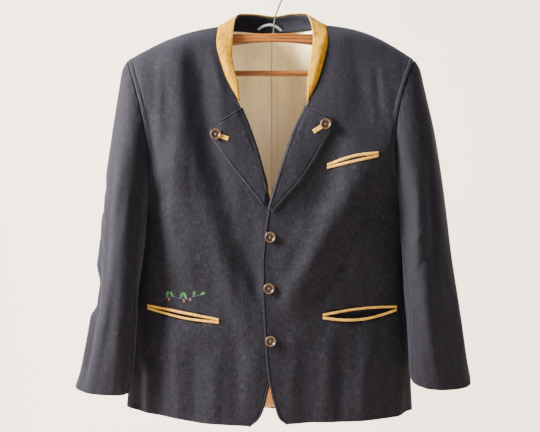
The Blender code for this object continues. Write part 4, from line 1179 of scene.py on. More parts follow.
def spun_thread(name, colour):
    """Sewing or embroidery thread: a fine twist with a soft gloss."""
    f = Finish(name, colour, 0.5, Sheen_Weight=0.05, Sheen_Roughness=0.3, Specular_IOR_Level=0.2)
    twist = f.bands(f.place("Object", turn=35), 900, "DIAGONAL", 0.5)
    shade = f.noise(f.place("Object"), 300, 2)
    lighter = [min(c, 1) for c in toned(colour, 1.2)]
    shaded = f.shades(shade, (0.3, toned(colour, 0.75)), (0.7, lighter))
    return f.wire(Base_Color=shaded, Normal=f.relief(twist, 0.00015, 0.6))


def woven_tape(name, colour):
    """Woven tape with cross ribs."""
    f = Finish(name, colour, 0.7, Sheen_Weight=0.2, Sheen_Roughness=0.4)
    ribs = f.bands(f.place("Object"), 420, "X", 0.4)
    shaded = f.shades(ribs, (0.2, toned(colour, 0.7)), (0.8, colour))
    return f.wire(Base_Color=shaded, Normal=f.relief(ribs, 0.0002, 0.6))


def painted(name, colour, roughness):
    """Smooth painted board with a barely uneven surface."""
    f = Finish(name, colour, roughness)
    uneven = f.noise(f.place("Object"), 3, 2)
    shaded = f.shades(uneven, (0.3, toned(colour, 0.985)), (0.7, colour))
    return f.wire(Base_Color=shaded, Normal=f.relief(uneven, 0.002, 0.1))


# ---------------- pieces of cloth

def settle(piece, slot, *nodes):
    """A finished piece rides on the one body and stands for its solids; the slot is not used."""
    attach(piece, "root")
    if nodes:
        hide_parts(*nodes)


def as_sheet(piece, grid, *rests_on):
    """Works out the flat size of a cloth piece's cut, which is not kept."""
    flat_size(grid)


def keep_surface(key, grid):
    """Keeps a cloth's face for the pieces that are laid on it."""
    GRIDS[key] = [list(line) for line in grid]
    SURFACES[key] = surface_of(grid)


def make_front(side, finishes, thickness):
    """A front, its allowances under the back and the collar, lined but for the facing."""
    name = f"front_{side}"
    grid = panel_fine(name, side, False)
    keep_surface(name, grid)
    pitted = [[p + Vector((0, pit_depth(name, p), 0)) for p in line] for line in grid]
    outer = open_seams(pitted, top=SEAM, last=SEAM)
    outer = tucked(outer, body_axis, "top", [TUCK_REACH] * len(ACROSS))
    reaches = [min(NECK_TUCK, (up - NECK_START) * NECK_TUCK_GROWS) if up > NECK_START else FOLDED_BACK
               for up in UPS]
    outer = tucked(outer, body_axis, "first", reaches + reaches[-1:] * 2, NECK_TUCK_DEPTH)
    facing_columns = 2 + next(j for j, across in enumerate(ACROSS) if across > FACING_SHARE)
    piece = cloth_from(f"cloth_{name}", outer, body_axis, thickness, finishes["cloth"],
                       finishes["lining"],
                       lambda i, j: j < facing_columns or i >= len(UPS) - 3)
    settle(piece, "charcoal_cloth", name)
    as_sheet(piece, grid, "hanger_bow")


def make_back(side, finishes, thickness):
    """A back panel, its allowances under the front and under the other half."""
    name = f"back_{side}"
    grid = panel_fine(name, side, True)
    outer = open_seams(grid, top=SEAM, first=SEAM, last=SEAM)
    reaches = [TUCK_REACH if up < UNDERARM - 0.01 else FOLDED_BACK for up in UPS]
    outer = tucked(outer, body_axis, "last", reaches)
    if side == "left":
        outer = tucked(outer, body_axis, "first", [TUCK_REACH] * len(UPS))
    piece = cloth_from(f"cloth_{name}", outer, body_axis, thickness, finishes["cloth"])
    settle(piece, "charcoal_cloth", name)
    as_sheet(piece, grid, "hanger_bow")


def make_lining(side, finishes, thickness):
    """The lining inside the back: it hangs just clear of the cloth, in soft upright folds."""
    name = f"back_{side}"
    columns = [k for k, across in enumerate(ACROSS) if across <= LINING_SHARE]
    grid = [[line[k] for k in columns] for line in back_grid(side)[3:]]
    normals = outward_normals(grid, body_axis)
    fold_width, fold_length = LINING_FOLD
    out = []
    for line, ways in zip(grid, normals):
        reach = lengths_along(line)
        row = []
        for far, point, way in zip(reach, line, ways):
            body = body_folds(name, point) * ease(0, 20, far)
            fold = noise.noise(Vector((point.x / fold_width, point.z / fold_length, 77)))
            drape = LINING_DRAPE * (1 + fold)
            sunk = CLOTH + LINING_GAP + RIPPLE_SLOW + drape * ease(0, 12, far)
            swell = ease(*LINING_SWELL_FROM, far) * ease(*LINING_SWELL_BELOW, point.z)
            sunk += LINING_SWELL[side] * swell
            pleat = PLEAT_DEPTH * ease(*PLEAT_FADES, far) * PLEAT_SHARE[side]
            row.append(point + way * (body - sunk - pleat))
        out.append(row)
    for j in range(len(columns)):
        for i, up in enumerate(UPS[3:]):
            out[i][j] += Vector((0, LINING_LEAN, -1)) * LINING_DROP * ease(0.95, 1, up)
    if side == "left":
        out = tucked(out, lambda p: 2 * p - body_axis(p), "first", [CENTRE_TUCK] * len(out),
                     CENTRE_TUCK_DEPTH)
    else:
        out = [[line[0] + (line[0] - line[1]).normalized() * CENTRE_LAP] + line for line in out]
    piece = cloth_from(f"satin_lining_{side}", out, body_axis, thickness, finishes["lining"])
    settle(piece, "beige_lining", f"lining_{name}")
    as_sheet(piece, out, f"cloth_{name}")


def make_sleeve(side, part, finishes, thickness):
    """The upper or the under piece of a sleeve, its head turned in at the armhole."""
    name = f"sleeve_{side}_{part}"
    grid, middles = sleeve_fine(side, part)
    outer = open_seams(grid, first=SEAM, last=SEAM)
    _, half, _ = sleeve_ring(side, 0)
    away = half.cross(Vector((0, 1, 0))).normalized()
    away *= SIDE_SIGN[side] * (1 if away.x > 0 else -1)
    outer[0] = [p + away * ARMHOLE_GAP for p in outer[0]]
    hem_rows = next(i for i, down in enumerate(DOWNS) if down > CUFF_HEM) + 2

    def tube_axis(point):
        return min(middles, key=lambda m: abs(m.z - point.z) + abs(m.x - point.x))

    if part == "under":
        for edge in ("first", "last"):
            outer = tucked(outer, tube_axis, edge, [TUCK_REACH] * len(DOWNS))
    start, end, shares = SLEEVE_SPANS[part]
    angles = [mix(start, end, share) for share in shares]
    if part == "under":
        angles = [angles[0]] * 2 + angles + [angles[-1]] * 2
    inside = [ring_inward(side, angle) for angle in angles]
    downs = [p + way * TUCK_DEPTH for p, way in zip(outer[0], inside)]
    outer = [[p - away * (TUCK_REACH + 1) for p in downs], downs] + outer

    piece = cloth_from(f"cloth_{name}", outer, tube_axis, thickness, finishes["cloth"],
                       finishes["lining"], lambda i, j: i > hem_rows)
    settle(piece, "charcoal_cloth", name)
    as_sheet(piece, grid, f"cloth_front_{side}")


def collar_grid():
    """Outer points of the collar, from its foot to its free edge at each place round it."""
    grid = []
    for place in evenly(COLLAR_COLUMNS):
        around = mix(-COLLAR_TIP, COLLAR_TIP, place)
        foot, edge = neck_seam(around), collar_edge(around)
        height = (edge - foot).length
        start = min(COLLAR_FOOT / height, 0.4)
        ahead = ease(NECK_POINT, 0.6, abs(around))
        spread_out = Vector((foot.x, foot.y, 0)).normalized().lerp(
            Vector((math.copysign(COLLAR_SPLAY, around), -1, 0)), ahead)
        crown = mix(COLLAR_CROWN_BACK, COLLAR_CROWN["left" if around > 0 else "right"], ahead)
        crown *= min(height / COLLAR_TALL, 1)
        line = []
        for share in evenly(COLLAR_ROWS):
            up = mix(start, 1, share)
            wave = COLLAR_WAVE * noise.noise(Vector((around * 9, up * 1.4, 51))) * ease(0, 0.3, share)
            band = edge_band(height * (1 - share)) * 0.6 + seam_dip(height * share) * 0.7
            out = crown * arch(share) + wave + band
            line.append(foot.lerp(edge, up) + spread_out * out)
        grid.append(line)
    return grid


def make_collar(finishes, thickness):
    """The suede band, rolled over its free edge, and the cloth facing inside it."""
    grid = collar_grid()
    keep_surface("collar", grid)
    normals = outward_normals(grid, collar_axis)
    suede = []
    for line, ways in zip(grid, normals):
        tight = min(1, (line[-1] - line[0]).length / COLLAR_LOW)
        rise = (line[-1] - line[-2]).normalized() * tight
        foot_way = (line[1] - line[0]).normalized() * tight
        feet = [line[0] - ways[0] * inward - foot_way * fall for inward, fall in COLLAR_FEET]
        roll = [line[-1] + rise * up - ways[-1] * inward for up, inward in COLLAR_ROLL]
        suede.append(feet + line + roll)
    first_rolled = len(suede[0]) - len(COLLAR_ROLL)
    piece = cloth_from("suede_collar", suede, collar_axis, SUEDE_WALL, finishes["suede"],
                       hem=lambda i, j: j >= first_rolled, edge=finishes["piping"])
    settle(piece, "tan_suede", "collar_suede")
    as_sheet(piece, suede, "cloth_back_left", "cloth_back_right")
    facing = []
    for line, ways in list(zip(grid, normals))[FACING_SHORT:-FACING_SHORT]:
        inner = [p - way * (thickness + FACING_GAP + FACING_DEEPER) for p, way in zip(line, ways)]
        foot_way = (inner[1] - inner[0]).normalized() * min(1, (line[-1] - line[0]).length / COLLAR_LOW)
        feet = [inner[0] - foot_way * fall - ways[0] * inward for inward, fall in FACING_FEET]
        facing.append(feet + inner[:-1])
    piece = cloth_from("cloth_collar_facing", facing, collar_axis, thickness, finishes["cloth"])
    settle(piece, "charcoal_cloth", "collar_facing")
    as_sheet(piece, facing, "suede_collar")


def collar_axis(point):
    """A point inside the collar, lower and nearer to its middle."""
    return Vector((point.x * 0.3, point.y * 0.3, point.z - 60))


def lapel_line(side, down):
    """The roll point and the edge point of a lapel, in X and Z."""
    rows = LAPEL[side]
    return from_table(rows, down, "roll_x", "roll_z"), from_table(rows, down, "edge_x", "edge_z")


def make_lapel(side, finishes, thickness):
    """A lapel turned over its front: it rolls round the front's edge and lies back on it."""
    surface = SURFACES[f"front_{side}"]
    grid, lying = [], []
    for down in evenly(LAPEL_ROWS):
        roll, edge = lapel_line(side, down)
        ahead, behind = [lapel_line(side, min(max(near, 0), 1))[0] for near in (down + 0.02, down - 0.02)]
        along = (ahead - behind).normalized()
        out = Vector((-along.y, along.x)) * (1 if -along.y * SIDE_SIGN[side] < 0 else -1)
        foot = seat(surface, roll.x, roll.y, 0)
        rolled, lift_by = LAPEL_ROLLS[side]
        line = [foot + Vector((-out.x, 0, -out.y)) * LAPEL_TURN_IN + Vector((0, LAPEL_TURN_DEPTH, 0))]
        for turn in ROLL_TURNS:
            cos, sin = circle(turn)
            line.append(foot + Vector((out.x * sin, 0, out.y * sin)) * ROLL_RADIUS
                        + Vector((0, ROLL_DEPTH - rolled * cos, 0)))
        width = (edge - roll).length
        for share in evenly(LAPEL_COLUMNS):
            place = roll.lerp(edge, share)
            puff = lift_by * math.cos(math.pi / 2 * share) * (1 - down * 0.6)
            wave = LAPEL_WAVE * noise.noise(Vector((place.x / 22, place.y / 40, 90 + SIDE_SIGN[side])))
            from_edge = min(width * (1 - share), LAPEL_HEIGHT * down + 0.3)
            lift = CLEAR + LAPEL_LIFT + thickness * 0.6 + puff + edge_band(from_edge)
            lift += wave * ease(0, 0.2, share) * ease(1, 0.7, share)
            lift += (rolled - ROLL_DEPTH - lift) * ease(0.14, 0, share)
            line.append(seat(surface, place.x, place.y, lift))
        grid.append(line)
        lying.append(line[len(ROLL_TURNS) + 1:])
    keep_surface(f"lapel_{side}", lying)
    piece = cloth_from(f"cloth_lapel_{side}", grid, toward_back, thickness, finishes["cloth"])
    settle(piece, "charcoal_cloth", f"lapel_{side}")
    as_sheet(piece, grid, f"cloth_front_{side}")


# ---------------- pockets, buttons and stitches

def toward_back(point):
    """A point behind a piece that faces the front."""
    return point + Vector((0, 30, 0))


def sewn_on(sheet, piece, slot, *nodes):
    """Settles a small piece and notes the larger one that it is sewn on."""
    settle(piece, slot, *nodes)
    TRIMS.setdefault(sheet, []).append(piece)


def mouth_row(pocket, share):
    """Across a pocket at one place: x, then the upper welt's two edges and the lower welt's two."""
    x, z = mix(pocket.x1, pocket.x2, share), mix(pocket.z1, pocket.z2, share)
    arc = arch(share)
    slim = WELT_SLIM[pocket.name] * arc
    top = z + pocket.end_height / 2 + pocket.bow_up * arc - slim
    bottom = z - pocket.end_height / 2 - pocket.bow_down * arc + slim
    meet = z + (pocket.bow_up - pocket.bow_down) * arc / 4
    part = SLOT_EASE[pocket.name] * window(*MOUTH_ENDS, share)
    high = max(top + slim - pocket.upper, meet + SEAM)
    low = min(bottom - slim + pocket.lower, meet - SEAM)
    return x, top, high + part, low - part, bottom


def pit_depth(panel, point):
    """How far a panel sinks behind a mouth that gapes."""
    depth = 0
    for pocket in POCKETS:
        share = (point.x - pocket.x1) / (pocket.x2 - pocket.x1)
        if pocket.panel != panel or not 0 < share < 1:
            continue
        _, _, high, low, _ = mouth_row(pocket, share)
        gape = high - low
        if gape > PIT_GAPE[0]:
            outside = abs(point.z - (high + low) / 2) - gape / 2
            depth = (MOUTH_DEPTH + PIT_DEEPER) * ease(*PIT_GAPE, gape)
            depth *= ease(*PIT_REACH, outside)
    return depth


def make_welts(pocket, finishes):
    """Two rolled suede strips round a pocket's mouth."""
    surface = SURFACES[pocket.panel]
    along, across = WELT_FINE
    rows = [mouth_row(pocket, share) for share in evenly(along)]
    for welt, high, low in (("upper", 1, 2), ("lower", 3, 4)):
        name = f"{pocket.name}_{welt}"
        ridge, pitch = WELT_RIDGE.get(name, WELT_GRAIN)
        grid = []
        for place, row in zip(evenly(along), rows):
            x, line = row[0], []
            end = window(*WELT_ENDS, place)
            for share in evenly(across):
                z = mix(row[high], row[low], share)
                roll = max(1 - (2 * share - 1) ** 4, 0) ** 0.5
                slant = (x + (z - row[high]) * 0.9) / pitch
                wear = WELT_WEAR * noise.noise(Vector((x / 5, z / 3, 31)))
                lift = CLEAR * WELT_SEAT + (SUEDE + 0.5 + wear) * roll * mix(0.5, 1, end)
                lift += ridge * (0.5 + 0.5 * math.sin(math.tau * slant)) * roll
                line.append(seat(surface, x, z, lift))
            under_high = line[0] + Vector((0, CLEAR * WELT_SEAT + 1.0, -0.5))
            under_low = line[-1] + Vector((0, CLEAR * WELT_SEAT + 1.0, 0.5))
            grid.append([under_high] + line + [under_low])
        piece = cloth_from(f"welt_{name}", grid, toward_back, WELT_WALL, finishes["welt"])
        sewn_on(f"cloth_{pocket.panel}", piece, "tan_suede", f"{name}_welt")


def make_pocketing(pocket, finishes):
    """The pocketing seen in a pocket's mouth, its cloth darkened as painted shade, which sinks where the
    mouth gapes.
    """
    surface = SURFACES[pocket.panel]
    along, across = WELT_FINE
    grid = []
    for place in evenly(along)[2:-2]:
        x, _, high, low, _ = mouth_row(pocket, place)
        gape = high - low
        puckers = noise.noise(Vector((x / 6.5, 3, 12))) + 0.5 * noise.noise(Vector((x / 2.7, 9, 4)))
        line = []
        for share in evenly(across):
            z = mix(high + MOUTH_UNDER, low - MOUTH_UNDER, share)
            bowl = arch(share) ** 0.6
            sunk = min(gape * 1.2, MOUTH_DEPTH) * bowl
            fold = MOUTH_PUCKER * puckers * bowl * ease(2, 8, gape)
            line.append(seat(surface, x, z, CLEAR * 0.35 - sunk + fold))
        grid.append(line)
    piece = cloth_from(f"{pocket.name}_pocketing", grid, toward_back, POCKETING_WALL,
                       finishes["pocketing"])
    sewn_on(f"cloth_{pocket.panel}", piece, "charcoal_cloth")


def button_disc(shank, turn):
    """A dished button facing up: roped rim, sunk ring and a raised, pitted eye."""
    profile = BUTTON_FINE + [(SHANK_RADIUS, -shank), (0, -shank)]
    bm = bmesh.new()
    verts = [bm.verts.new(Vector((r, 0, h)) * MM) for r, h in profile]
    for a, b in zip(verts, verts[1:]):
        bm.edges.new((a, b))
    bmesh.ops.spin(bm, geom=bm.verts[:] + bm.edges[:], cent=(0, 0, 0), axis=(0, 0, 1),
                   angle=math.tau, steps=BUTTON_STEPS, use_merge=True)
    bmesh.ops.remove_doubles(bm, verts=bm.verts, dist=1e-6)
    for vert in bm.verts:
        radius, angle = math.hypot(vert.co.x, vert.co.y) / MM, math.atan2(vert.co.y, vert.co.x)
        if vert.co.z > ROPE_FROM * MM and radius > RING_RADIUS:
            rope = (math.sin(angle * ROPE_TURNS) - 1) * ease(10.1, 9.2, radius)
            vert.co.z += ROPE_DEPTH * MM * rope
        if radius < BOSS_RADIUS and vert.co.z > 0:
            pit = max(math.sin(angle * 4 + turn), 0) * ease(0.2, 1.7, radius)
            vert.co.z -= BOSS_PIT * MM * pit
    for face in bm.faces:
        centre = face.calc_center_median() / MM
        radius, angle = math.hypot(centre.x, centre.y), math.atan2(centre.y, centre.x)
        if centre.z < BUTTON_BACK:
            face.material_index = 1
        elif radius < BOSS_RADIUS:
            pitted = math.sin(angle * 4 + turn) > PIT_FROM and radius > 0.8
            face.material_index = int(pitted)
        elif radius < RING_RADIUS:
            face.material_index = 1
    bmesh.ops.recalc_face_normals(bm, faces=bm.faces)
    return bm


def make_button(name, node, place, facing, shank, turn, finishes):
    """A button set on its place and turned to face a direction."""
    bm = button_disc(shank, turn)
    about = Vector((0, 0, 1)).rotation_difference(facing)
    bmesh.ops.rotate(bm, verts=bm.verts, cent=(0, 0, 0), matrix=about.to_matrix())
    bmesh.ops.translate(bm, verts=bm.verts, vec=place * MM)
    settle(object_of(bm, name, finishes["rim"], finishes["horn"], smooth=60), "horn_button", node)


def make_buttonhole(number, x, z, finishes):
    """A worked buttonhole just past the button: two corded edges and the cut between them."""
    surface = SURFACES["front_left"]
    start, end, half = BUTTONHOLE
    along, across = BUTTONHOLE_CELLS
    grid = []
    for share in evenly(along):
        at = x + mix(start, end, share)
        wide = half * math.sin(math.pi * mix(0.08, 0.92, share)) ** 0.4
        line = []
        for off in offsets(across):
            cord = math.sin(math.pi * min(abs(off), 1)) * CORD * ease(0, 0.15, abs(off))
            stitched = 0.08 * math.sin(share * 90)
            line.append(seat(surface, at, z + off * wide, 0.12 + (cord + stitched) * (abs(off) < 1)))
        grid.append(line)
    piece = cloth_from(f"buttonhole_{number}", grid, toward_back, 0.2, finishes["thread"])
    sewn_on("cloth_front_left", piece, "charcoal_cloth")


def make_tab(side, finishes):
    """The suede-bound buttonhole on a lapel: two rolled lips that meet in a slit."""
    surface = SURFACES[f"lapel_{side}"]
    button = Vector(LAPEL_BUTTONS[side])
    end = Vector(TAB_END[side])
    way = (end - button).normalized()
    start = button + way * (SHANK_RADIUS + 1.5)
    beside = Vector((-way.y, way.x)) * TAB_WIDTH / 2
    along, across = TAB_CELLS
    grid = []
    for share in evenly(along):
        middle = start.lerp(end, share)
        ends = ease(1, 1 - 0.05, share) * ease(0, 0.05, share)
        line = []
        for off in offsets(across):
            roll = max(1 - (2 * abs(off) - 1) ** 4, 0) ** 0.5
            lift = CLEAR * WELT_SEAT + SUEDE * (0.3 + 0.75 * roll) * mix(0.4, 1, ends)
            lift += 0.1 * noise.noise(Vector((share * 12, off * 3, 8)))
            spot = middle + beside * off
            line.append(seat(surface, spot.x, spot.y, lift))
        line = [line[0] + Vector((0, 1.4, 0))] + line + [line[-1] + Vector((0, 1.4, 0))]
        grid.append(line)
    piece = cloth_from(f"tab_{side}", grid, toward_back, 0.4, finishes["welt"])
    sewn_on(f"cloth_lapel_{side}", piece, "tan_suede", f"lapel_tab_{side}")


def make_lapel_button(side, finishes):
    """The button on a lapel's tab."""
    x, z = LAPEL_BUTTONS[side]
    place = seat(SURFACES[f"lapel_{side}"], x, z, CLEAR + SUEDE + 0.9)
    facing = Vector((0, -1, 0.05)).normalized()
    make_button(f"horn_lapel_button_{side}", f"lapel_button_{side}", place, facing, SUEDE + 0.5,
                1.3 + SIDE_SIGN[side], finishes)


def make_front_buttons(finishes):
    """The front's buttons with their buttonholes."""
    for number, (x, z) in enumerate(FRONT_BUTTONS, 1):
        place = seat(SURFACES["front_left"], x, z, CLEAR + 1.2)
        make_button(f"horn_front_button_{number}", f"front_button_{number}", place,
                    Vector((0, -1, 0)), 1.0, number * 1.7, finishes)
        make_buttonhole(number, x, z, finishes)


# ---------------- stitches

def add_stitch(bm, start, end, radius):
    """One stitch: a short thread with its ends in the cloth."""
    way = end - start
    turn = Vector((0, 0, 1)).rotation_difference(way.normalized()).to_matrix().to_4x4()
    place = Matrix.Translation((start + end) / 2 * MM) @ turn
    bmesh.ops.create_cone(bm, cap_ends=True, segments=5, radius1=radius * MM, radius2=radius * MM,
                          depth=way.length * MM, matrix=place)


def stitched(bm, path, lift, length=STITCH, pitch=STITCH_PITCH, radius=STITCH_RADIUS):
    """Running stitches along a path of points."""
    reach = lengths_along(path)
    count = int(reach[-1] / pitch)
    for k in range(count):
        ends = [point_at(path, reach, k * pitch + far) for far in (STITCH_FROM, STITCH_FROM + length)]
        add_stitch(bm, ends[0] + lift, ends[1] + lift, radius)


def point_at(path, reach, far):
    """The point a given distance along a path."""
    k = min(max(bisect.bisect_left(reach, far), 1), len(path) - 1)
    span = reach[k] - reach[k - 1] or 1
    return path[k - 1].lerp(path[k], min(max((far - reach[k - 1]) / span, 0), 1))


def beside_edge(grid, distance, last=False):
    """The line of points at a distance in from a grid's first or last column."""
    path = []
    for line in grid:
        line = line[::-1] if last else line
        path.append(point_at(line, lengths_along(line), distance))
    return path


def make_seams(name, sheet, paths, finish, lift=STITCH_LIFT):
    """One piece of running stitches along every path, sewn on a cloth."""
    bm = bmesh.new()
    for path in paths:
        stitched(bm, path, lift)
    sewn_on(sheet, object_of(bm, name, finish), "charcoal_cloth")


def make_topstitching(finishes):
    """The stitch lines along the fronts' and the lapels' free edges, and round the collar."""
    for side in SIDE_SIGN:
        front = GRIDS[f"front_{side}"]
        rows = [k for k, up in enumerate(UPS) if 0.012 < up < NECK_START]
        path = beside_edge([front[k] for k in rows], EDGE_BAND)
        make_seams(f"front_stitching_{side}", f"cloth_front_{side}", [path], finishes["thread"])
        lapel = GRIDS[f"lapel_{side}"]
        top = round(LAPEL_ROWS * EDGE_BAND / LAPEL_HEIGHT)
        edge = beside_edge(lapel[top:-3], EDGE_BAND, True)
        make_seams(f"lapel_stitching_{side}", f"cloth_lapel_{side}", [lapel[top][4:-5], edge],
                   finishes["thread"])
    collar = GRIDS["collar"][3:-3]
    from_edge, from_foot = COLLAR_STITCHES
    lines = [beside_edge(collar, from_edge, True), beside_edge(collar, from_foot)]
    make_seams("collar_stitching", "suede_collar", lines, finishes["suede_thread"], Vector((0, 0, 0)))


# ---------------- the oak sprig

def satin(bm, surface, base, degrees, length, outline, slant):
    """Satin stitch to both sides of a middle line; outline gives the half width along it."""
    way = Vector(circle(degrees))
    beside = Vector((-way.y, way.x))
    lean = math.tan(math.radians(slant))
    steps = int(length / SATIN_PITCH)
    for k in range(1, steps):
        middle = Vector(base) + way * (length * k / steps)
        half = outline(k / steps)
        for side in (-1, 1):
            if half < 0.3:
                continue
            tip = middle + beside * side * half + way * half * lean
            a = seat(surface, middle.x, middle.y, 0.25)
            b = seat(surface, tip.x, tip.y, 0.2)
            add_stitch(bm, a, b, SATIN_RADIUS)


def lobed(half):
    """The half width along an oak leaf: a long swell with round lobes."""
    def outline(share):
        swell = math.sin(math.pi * min(share * 0.94 + 0.05, 1)) ** 0.7
        return half * swell * (0.78 + 0.3 * math.cos(share * 22))
    return outline


def make_sprig(finishes):
    """A sprig of oak leaves and acorns above the pocket, in satin and stem stitch."""
    surface = SURFACES["front_right"]

    def motif(name, build):
        bm = bmesh.new()
        build(bm)
        sewn_on("cloth_front_right", object_of(bm, f"sprig_{name}", finishes[name]), "charcoal_cloth")

    def stem(bm):
        path = []
        for k in range((len(STEM) - 1) * STEM_STEPS + 1):
            x, z = smooth_path(STEM, k / STEM_STEPS)
            path.append(seat(surface, x, z, 0.2))
        for offset in (0, 0.35):
            stitched(bm, path, Vector((0, 0, offset)), 2.6, 2.2, 0.26)
        for x, z, degrees, length, _ in [leaf for kind in LEAVES.values() for leaf in kind]:
            cos, sin = circle(degrees)
            vein = Vector((cos, 0, sin)) * length * 0.8
            add_stitch(bm, seat(surface, x, z, 0.3), seat(surface, x, z, 0.5) + vein, 0.2)

    def filled(name, shapes, outline, slant):
        motif(name, lambda bm: [satin(bm, surface, (x, z), degrees, length, outline(half), slant)
                                for x, z, degrees, length, half in shapes])

    motif("stem_violet", stem)
    for colour, leaves in LEAVES.items():
        filled(colour, leaves, lobed, SATIN_SLANT)
    filled("acorn_rust", ACORNS,
           lambda half: lambda s: half * math.sin(math.pi * s) ** 0.5 if s > CUP_SHARE else 0, 5)
    filled("cup_brown", ACORNS, lambda half: lambda s: half * 1.15 if s <= CUP_SHARE else 0, 0)


def smooth_path(points, at):
    """A smooth line through (x, z) points; at counts them."""
    k = min(int(at), len(points) - 2)
    share = at - k
    before, a = points[max(k - 1, 0)], points[k]
    b, after = points[k + 1], points[min(k + 2, len(points) - 1)]
    out = []
    for p, q, r, s in zip(before, a, b, after):
        out.append(0.5 * (2 * q + (r - p) * share + (2 * p - 5 * q + 4 * r - s) * share ** 2
                          + (3 * q - p - 3 * r + s) * share ** 3))
    return out


# ---------------- hang loop and hanger

def make_loop(finishes):
    """The hang loop of woven tape inside the back of the neck."""
    grid = []
    last = len(LOOP_PATH) - 1
    for k in range(last * LOOP_STEPS + 1):
        at = k / LOOP_STEPS
        x, y, z = smooth_path(LOOP_PATH, at)
        ahead = smooth_path(LOOP_PATH, min(at + 0.05, last - 0.001))
        behind = smooth_path(LOOP_PATH, max(at - 0.05, 0))
        way = Vector((ahead[0] - behind[0], 0, ahead[2] - behind[2])).normalized()
        wide = Vector((-way.z, 0, way.x)) * LOOP_WIDTH / 2
        line = []
        for off in offsets(8):
            line.append(Vector((x, y - 0.12 * (abs(off) > 0.7), z)) + wide * off)
        grid.append(line)
    piece = cloth_from("tape_hang_loop", grid, toward_back, LOOP_THICK, finishes["tape"])
    sewn_on("cloth_collar_facing", piece, "grey_tape", "hang_loop")


def dress_hanger(finishes):
    """Wood and steel for the hanger's own solids."""
    for node, finish in HANGER_FINISHES.items():
        slots = bpy.data.objects[node].data.materials
        slots.clear()
        slots.append(finishes[finish])


# ---------------- stage

def make_cove(level, finish):
    """A floor that turns up into a wall well behind the jacket."""
    bm = bmesh.new()
    bmesh.ops.create_grid(bm, x_segments=1, y_segments=COVE_CELLS, size=1.0)
    for vert in bm.verts:
        along = (vert.co.y + 1) / 2 * COVE_CELLS / (COVE_CELLS - 2)
        turn = min(max(along - 1 / COVE_CELLS, 0), 1) * math.pi / 2
        y = COVE_START + COVE_RADIUS * math.sin(turn)
        z = level + COVE_RADIUS * (1 - math.cos(turn))
        if vert.co.y < -0.999:
            y = -COVE_REACH
        if vert.co.y > 0.999:
            z = level + COVE_REACH
        vert.co = (vert.co.x * COVE_REACH, y, z)
    bmesh.ops.recalc_face_normals(bm, faces=bm.faces)
    cove = object_of(bm, "floor_and_wall", finish)


def area_light(name, power, place, target, size, colour):
    """A rectangular light turned to its target."""
    data = bpy.data.lights.new(name, "AREA")
    data.shape = "RECTANGLE"
    data.size, data.size_y = size
    data.energy = power
    data.color = colour
    lamp = bpy.data.objects.new(name, data)
    lamp.location = place
    lamp.rotation_euler = (Vector(target) - Vector(place)).to_track_quat("-Z", "Y").to_euler()
    bpy.context.scene.collection.objects.link(lamp)


def make_lights(key_power, fill_power):
    """The area lights, and a room that is brighter on one side."""
    powers = (key_power, fill_power, WALL_POWER, WALL_POWER * 0.35)
    for (name, settings), power in zip(LIGHTS.items(), powers):
        area_light(name, power, *settings)
    world = bpy.context.scene.world or bpy.data.worlds.new("room")
    bpy.context.scene.world = world
    world.use_nodes = True
    nodes, links = world.node_tree.nodes, world.node_tree.links
    coords = nodes.new("ShaderNodeTexCoord")
    facing = nodes.new("ShaderNodeVectorMath")
    facing.operation = "DOT_PRODUCT"
    facing.inputs[1].default_value = ROOM_BRIGHT_SIDE
    ramp = nodes.new("ShaderNodeMapRange")
    ramp.interpolation_type = "SMOOTHSTEP"
    for socket, value in zip(("From Min", "From Max", "To Min", "To Max"), ROOM_RAMP):
        ramp.inputs[socket].default_value = value
    links.new(coords.outputs["Generated"], facing.inputs[0])
    links.new(facing.outputs["Value"], ramp.inputs["Value"])
    room = nodes["Background"]
    room.inputs["Color"].default_value = (*ROOM_COLOUR, 1)
    links.new(ramp.outputs["Result"], room.inputs["Strength"])


def make_camera(place, lens):
    """A level camera that looks along Y."""
    data = bpy.data.cameras.new("camera")
    data.sensor_width = 36
    data.lens = lens
    camera = bpy.data.objects.new("camera", data)
    camera.location = place
    camera.rotation_euler = Euler((math.pi / 2, 0, 0))
    bpy.context.scene.collection.objects.link(camera)
    bpy.context.scene.camera = camera


# ---------------- settings

class JacketSettings(bpy.types.PropertyGroup):
    """Sizes and colours of the cloth, suede and lining."""
    cloth_thickness: bpy.props.FloatProperty(
        name="Cloth thickness", description="Shell cloth with its facing",
        default=CLOTH * MM, unit="LENGTH")
    suede_thickness: bpy.props.FloatProperty(
        name="Suede thickness", description="Collar, welts and lapel tabs",
        default=SUEDE * MM, unit="LENGTH")
    lining_thickness: bpy.props.FloatProperty(
        name="Lining thickness", description="Satin lining", default=LINING * MM, unit="LENGTH")
    cloth_dark: bpy.props.FloatVectorProperty(
        name="Cloth, dark thread", description="Shade of the warp", subtype="COLOR",
        default=(0.0018, 0.0015, 0.0026))
    cloth_light: bpy.props.FloatVectorProperty(
        name="Cloth, light thread", description="Shade of the slubs", subtype="COLOR",
        default=(0.0192, 0.0174, 0.0255))
    suede_dark: bpy.props.FloatVectorProperty(
        name="Suede, dark nap", description="Nap brushed down", subtype="COLOR",
        default=(0.155, 0.066, 0.002))
    suede_light: bpy.props.FloatVectorProperty(
        name="Suede, light nap", description="Nap brushed up", subtype="COLOR",
        default=(0.395, 0.205, 0.008))
    lining_ground: bpy.props.FloatVectorProperty(
        name="Lining", description="Satin ground", subtype="COLOR", default=(0.96, 0.73, 0.36))


